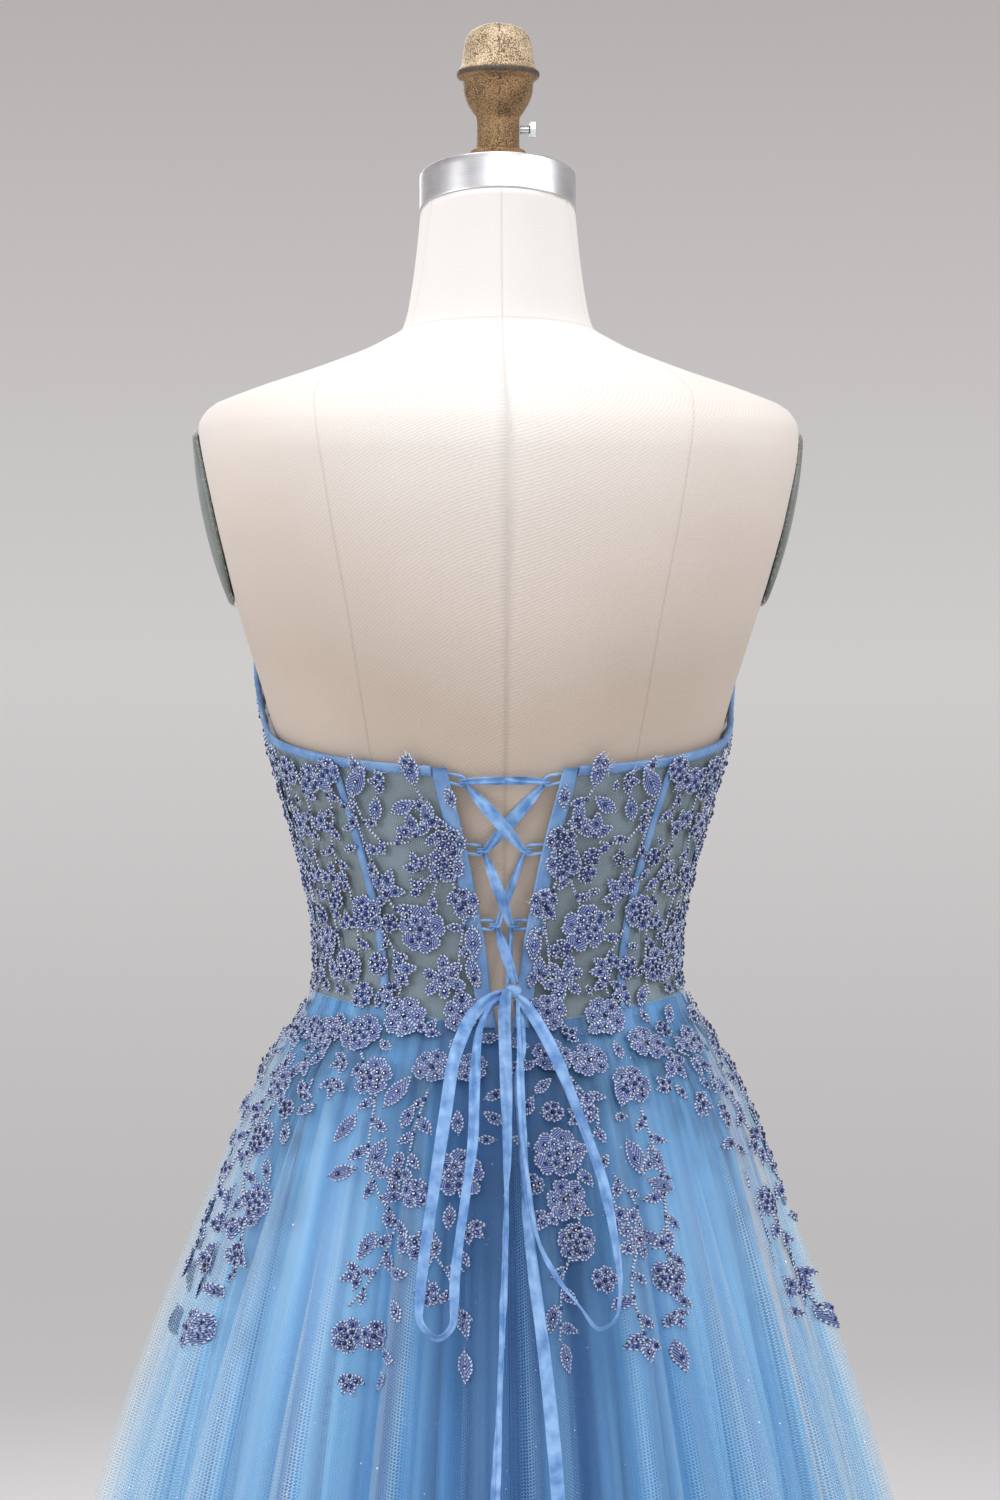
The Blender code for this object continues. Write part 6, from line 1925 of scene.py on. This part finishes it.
def add_ribbon(name, rows, across, satin, seed, slant=0.0):
    """A satin ribbon along rows of (point, share of its width, twist). Where it is drawn together it folds
    up."""
    places = np.linspace(0, len(rows) - 1, RIBBON_STEPS * (len(rows) - 1) + 1)
    line = path_points([tuple(row[0]) for row in rows], places)
    share, twist = path_points([row[1:] for row in rows], places).T
    side, off = carried_frames(line, across, twist)
    length = summed(steps_along(line))[:, None]
    over = RIBBON_ACROSS
    rng = np.random.default_rng(seed)
    phase = rng.uniform(0, 6.28) + length / 0.019 + 0.8 * np.sin(length / 0.011)
    deep = RIBBON * np.sqrt(np.clip(1 - share * share, 0.02, 1))[:, None] * 0.105
    fold = deep * np.sin(over * 2 * np.pi * 1.4 + phase)
    crease = 0.00022 * np.sin(over * 9 + length / 0.0042) * np.sin(length / 0.013 + 1)
    lift = fold + crease
    flat = over[None, :] * RIBBON * share[:, None]
    centre = line[:, None, :] + side[:, None, :] * flat[..., None]
    if slant:
        centre[-1] += np.outer(over * RIBBON * slant, unit(line[-1] - line[-2]))
    top = centre + off[:, None, :] * (lift + RIBBON_THICK / 2)[..., None]
    low = centre + off[:, None, :] * (lift - RIBBON_THICK / 2)[..., None]
    rings = np.concatenate((top, low[:, ::-1]), 1)
    uv = stacked(length, np.concatenate((over, over[::-1])) * RIBBON)
    return add_strip(name, rings, uv, satin, True), line


def loop_tip(side, loop):
    """The inner end of a button loop, at the middle of its thickness."""
    height, reach = loop
    edge = figure_off(side * opening_turn(height), height, LACING_OFF)
    return edge + np.array((-side * reach, 0, 0))


def add_button_loops(satin):
    """Each is a tube bent in a hairpin, with small caps on its ends under the casing."""
    around = np.linspace(0, 2 * np.pi, 10, endpoint=False)
    for number, loop in enumerate(LOOPS, 1):
        for ending, side in SIDES:
            tip = loop_tip(side, loop)
            root = loop[1] - SEAM
            bend = np.linspace(0, np.pi, 13)[1:-1]
            leg = [
                (root + LOOP_TUCK, LOOP_LEG * 0.8), (root, LOOP_LEG * 0.9), (root * 0.75, LOOP_LEG),
                (LOOP_LEG, LOOP_LEG),
            ]
            outline = leg + [(LOOP_LEG * (1 - math.sin(a)), LOOP_LEG * math.cos(a)) for a in bend]
            across, up = np.array(outline + [(x, -up) for x, up in leg[::-1]]).T
            under = -0.0010 * smooth_step((across - root + 0.0012) / 0.0022)
            rise = LOOP_RISE[number - 1] * np.clip(across / root, 0, 1)
            line = stacked(side * across, under, up + rise) + tip
            along = unit(np.gradient(line, axis=0))
            off = np.tile((0.0, 1.0, 0.0), (len(line), 1))
            cross = np.cross(off, along)
            plump = LOOP_WIRE * (0.94 + 0.06 * np.cos(np.arange(len(line)) * 2.1))[:, None, None]
            rings = line[:, None] + plump * (
                cross[:, None] * np.cos(around)[:, None] + off[:, None] * np.sin(around)[:, None]
            )
            uv = stacked(np.arange(len(line))[:, None] * 0.001, around * 0.001)
            made = add_strip(f"button_loop_{ending}_{number}", rings, uv, satin)
            finish_piece(made, "satin", f"loop_{ending}_{number}")


def through_loop(side, loop):
    """The ribbon's rows round one loop: over its tip, in through it, and out underneath, a little lower."""
    tip = loop_tip(side, loop)
    over = LOOP_WIRE + TRIM / 2 + 2 * SEAM
    outside, off, down = np.array((side, 0, 0)), np.array((0, 1, 0)), np.array((0, 0, -1))
    return [
        (tip - outside * 0.0012 + off * (over + 0.0004), 0.44, 0),
        (tip + outside * 0.0005 + off * (over + 0.0006), THREADED, 0),
        (tip + outside * (LOOP_WIRE + 0.0022), THREADED, 0),
        (tip + outside * 0.0005 - off * (over + 0.0004) + down * 0.0006, THREADED, 0),
        (tip - outside * 0.0014 - off * over + down * 0.0031, 0.40, 0),
    ]


def run_across(route, onward, lift, widest=0.98):
    """Joins two parts of a ribbon's route by a straight run, widest in the middle and lifted off the form."""
    start, end = route[-1][0], onward[0][0]
    for share, wide in ((0.25, 0.88), (0.5, 1.0), (0.75, 0.88)):
        point = start + (end - start) * share
        bulge = math.sin(math.pi * share)
        route = route + [(point + np.array((0, (0.0022 + lift) * bulge, 0)), wide * widest, 0)]
    return route + list(onward)


def add_lacing(satin):
    """Its two halves start in the middle of the bar. The left one lies on top at the first and last
    crossings, and the right one at the middle one.
    """
    top, middle, low = LOOPS
    bar = figure_off(0, top[0] + 0.0005, LACING_OFF + 0.0006)
    for ending, side in SIDES:
        route = [
            (bar + np.array((side * out, 0, 0)), share, 0) for out, share in ((0.00004, 0.62), (0.012, 0.60))
        ]
        route += through_loop(side, top)
        route = run_across(route, through_loop(-side, middle), 0.0032 * side)
        route = run_across(route, through_loop(side, low), -0.0032 * side, 0.72 - 0.13 * side)
        end = figure_off(0, KNOT[1] + KNOT_HALF[2] + (5 + side) * SEAM, KNOT_OFF + side * 0.0012)
        last = [(end + np.array((KNOT[0] - side * 0.0022, 0, 0)), 0.42, 0)]
        route = run_across(route, last, 0.0024 * side, 0.66 + 0.16 * side)
        ribbon, _ = add_ribbon(f"lacing_{ending}_ribbon", route, (0, 0, 1), satin, 3 + side)
        finish_piece(ribbon, "satin", f"lacing_{ending}")


ribbon_satin = satin_material("ribbon_satin", (0.27, 0.49, 0.84), (0.075, 0.22, 0.54), 1.4)
add_button_loops(ribbon_satin)
add_lacing(ribbon_satin)

# ---- The bow ----
# The lacing's ends are tied once in a small tight knot, with two long loops and two tails left hanging free
# down the back of the skirt. It is the same ribbon, heat-cut on the slant at its ends.

# Across from the centre back towards the wearer's left, height above the waist, share of the width, and
# twist.
LEFT_LOOP = [
    (-0.0015, -0.0085, 0.60, 0), (0.0050, -0.0100, 0.80, 0), (0.0120, -0.0140, 0.92, 0),
    (0.0200, -0.0215, 0.98, 5), (0.0262, -0.0320, 1.00, 12), (0.0322, -0.0480, 0.95, 20),
    (0.0376, -0.0770, 0.95, 30), (0.0444, -0.1160, 0.85, 25), (0.0526, -0.1690, 0.80, 35),
    (0.0539, -0.1880, 0.60, 60), (0.0436, -0.1995, 0.55, 85), (0.0342, -0.1900, 0.60, 70),
    (0.0334, -0.1690, 0.75, 40), (0.0269, -0.1245, 0.80, 25), (0.0214, -0.0894, 0.80, 25),
    (0.0195, -0.0540, 0.90, 20), (0.0165, -0.0310, 0.80, 15), (0.0080, -0.0160, 0.60, 5),
    (-0.0008, -0.0125, 0.42, 0),
]
RIGHT_LOOP = [
    (-0.0075, -0.0098, 0.50, 0), (-0.0130, -0.0160, 0.85, 5), (-0.0205, -0.0275, 0.92, 10),
    (-0.0294, -0.0450, 0.95, 15),
    (-0.0397, -0.0715, 0.80, 20), (-0.0549, -0.1160, 0.80, 20), (-0.0600, -0.1424, 0.70, 30),
    (-0.0631, -0.1706, 0.65, 50), (-0.0600, -0.1890, 0.60, 75), (-0.0500, -0.1950, 0.60, 80),
    (-0.0390, -0.1827, 0.70, 55), (-0.0266, -0.1673, 0.80, 30), (-0.0150, -0.1450, 0.80, 25),
    (-0.0100, -0.1125, 0.70, 20), (-0.0075, -0.0632, 0.65, 10), (-0.0079, -0.0131, 0.42, 0),
]
LEFT_TAIL = [
    (-0.0020, -0.0062, 0.60, 0), (-0.0008, -0.0095, 0.80, 0), (0.0004, -0.0200, 0.95, 0),
    (0.0008, -0.0480, 0.95, 12), (0.0010, -0.0880, 0.85, 40), (0.0029, -0.1340, 0.75, 65),
    (0.0056, -0.1870, 0.75, 60), (0.0095, -0.2520, 0.80, 55), (0.0130, -0.3100, 0.90, 45),
    (0.0150, -0.3600, 1.00, 30),
]
RIGHT_TAIL = [
    (-0.0067, -0.0133, 0.34, 0), (-0.0092, -0.0250, 0.60, 30), (-0.0096, -0.0380, 0.62, 50),
    (-0.0060, -0.0620, 0.70, 45),
    (-0.0080, -0.1100, 0.75, 45), (-0.0118, -0.1570, 0.85, 25), (-0.0182, -0.2130, 0.95, 15),
    (-0.0230, -0.2680, 1.00, 10), (-0.0265, -0.3300, 1.00, 5), (-0.0290, -0.4000, 1.00, 0),
]
LACE_LIFT = 0.0019
KNOT_GRID, KNOT_MAP_RADIUS = (34, 56), 0.005
# Which rows, how far it lies off the skirt's lace, and where it leaves the knot in front of its centre.
BOW = {
    "bow_loop_left": (LEFT_LOOP, 0.0085, 0.0024), "bow_loop_right": (RIGHT_LOOP, 0.0085, 0.0020),
    "bow_tail_left": (LEFT_TAIL, 0.0030, 0.0042), "bow_tail_right": (RIGHT_TAIL, 0.0028, -0.0022),
}


def knot_centre():
    return figure_off(0, KNOT[1], KNOT_OFF) + np.array((KNOT[0], 0, 0))


def hanging_point(x, height, lift, knot_lift):
    """A point of the bow: off the knot's middle near the knot, and clear of the tulle's folds and lace below
    it."""
    half_width, half_depth, fold_depth = (float(at(-height)) for at in LAYER_AT["outer_tulle"])
    depth = half_depth + fold_depth + CLOTH + LACE_LIFT + TRIM
    y = depth * (1 - min(abs(x) / half_width, 0.9) ** 2.1) ** (1 / 2.1)
    seam = figure_off(0, max(height, float(WAIST_SEAM_AT(0))), LAYERS["outer_tulle"].off + CLOTH + TRIM)[1]
    below_knot = float(smooth_step(np.array((KNOT[1] - height) / 0.030)))
    at_knot = knot_centre()[1] + knot_lift
    return np.array((x, at_knot + (max(y, seam) + lift - at_knot) * below_knot, WAIST + height))


def add_knot(satin):
    """A tight fold of ribbon wrapped round itself: ridged and creased across, pinched at both ends."""
    tall, wide = KNOT_GRID
    up = np.linspace(-1, 1, tall)[1:-1, None]
    angle = np.linspace(0, 2 * np.pi, wide, endpoint=False)[None, :]
    ring = np.sqrt(1 - np.abs(up) ** 2.6)
    ridges = 0.10 * np.abs(np.sin(2.6 * up + 1.1 * np.sin(angle) + 0.4)) - 0.05
    wrap = 0.13 * smooth_step((0.34 - np.abs(up + 0.28 * np.sin(angle + 0.5))) / 0.10)
    radius = ring * (0.92 + ridges) + wrap
    points = stacked(
        KNOT_HALF[0] * radius * np.sin(angle), KNOT_HALF[1] * radius * np.cos(angle), KNOT_HALF[2] * up,
    )
    poles = np.array([(0, 0, -KNOT_HALF[2] * 0.98), (0, 0, KNOT_HALF[2] * 0.98)])
    uv = stacked(angle * KNOT_MAP_RADIUS, up * KNOT_MAP_RADIUS).reshape(-1, 2)
    knot = add_mesh(
        "bow_knot_folded", np.concatenate((points.reshape(-1, 3), poles)) + knot_centre(),
        closed_faces(tall - 2, wide, True), [satin], np.concatenate((uv, uv[:2])),
    )
    finish_piece(knot, "satin", "bow_knot")


def add_bow(satin):
    for seed, (name, (falls, lift, knot_lift)) in enumerate(BOW.items()):
        route = [(hanging_point(across, height, lift, knot_lift), share, twist)
                 for across, height, share, twist in falls]
        slant = 0.0 if "loop" in name else 0.9
        ribbon, line = add_ribbon(name + "_ribbon", route, (1, 0, 0), satin, 20 + seed, slant)
        finish_piece(ribbon, "satin", name)


add_knot(ribbon_satin)
add_bow(ribbon_satin)
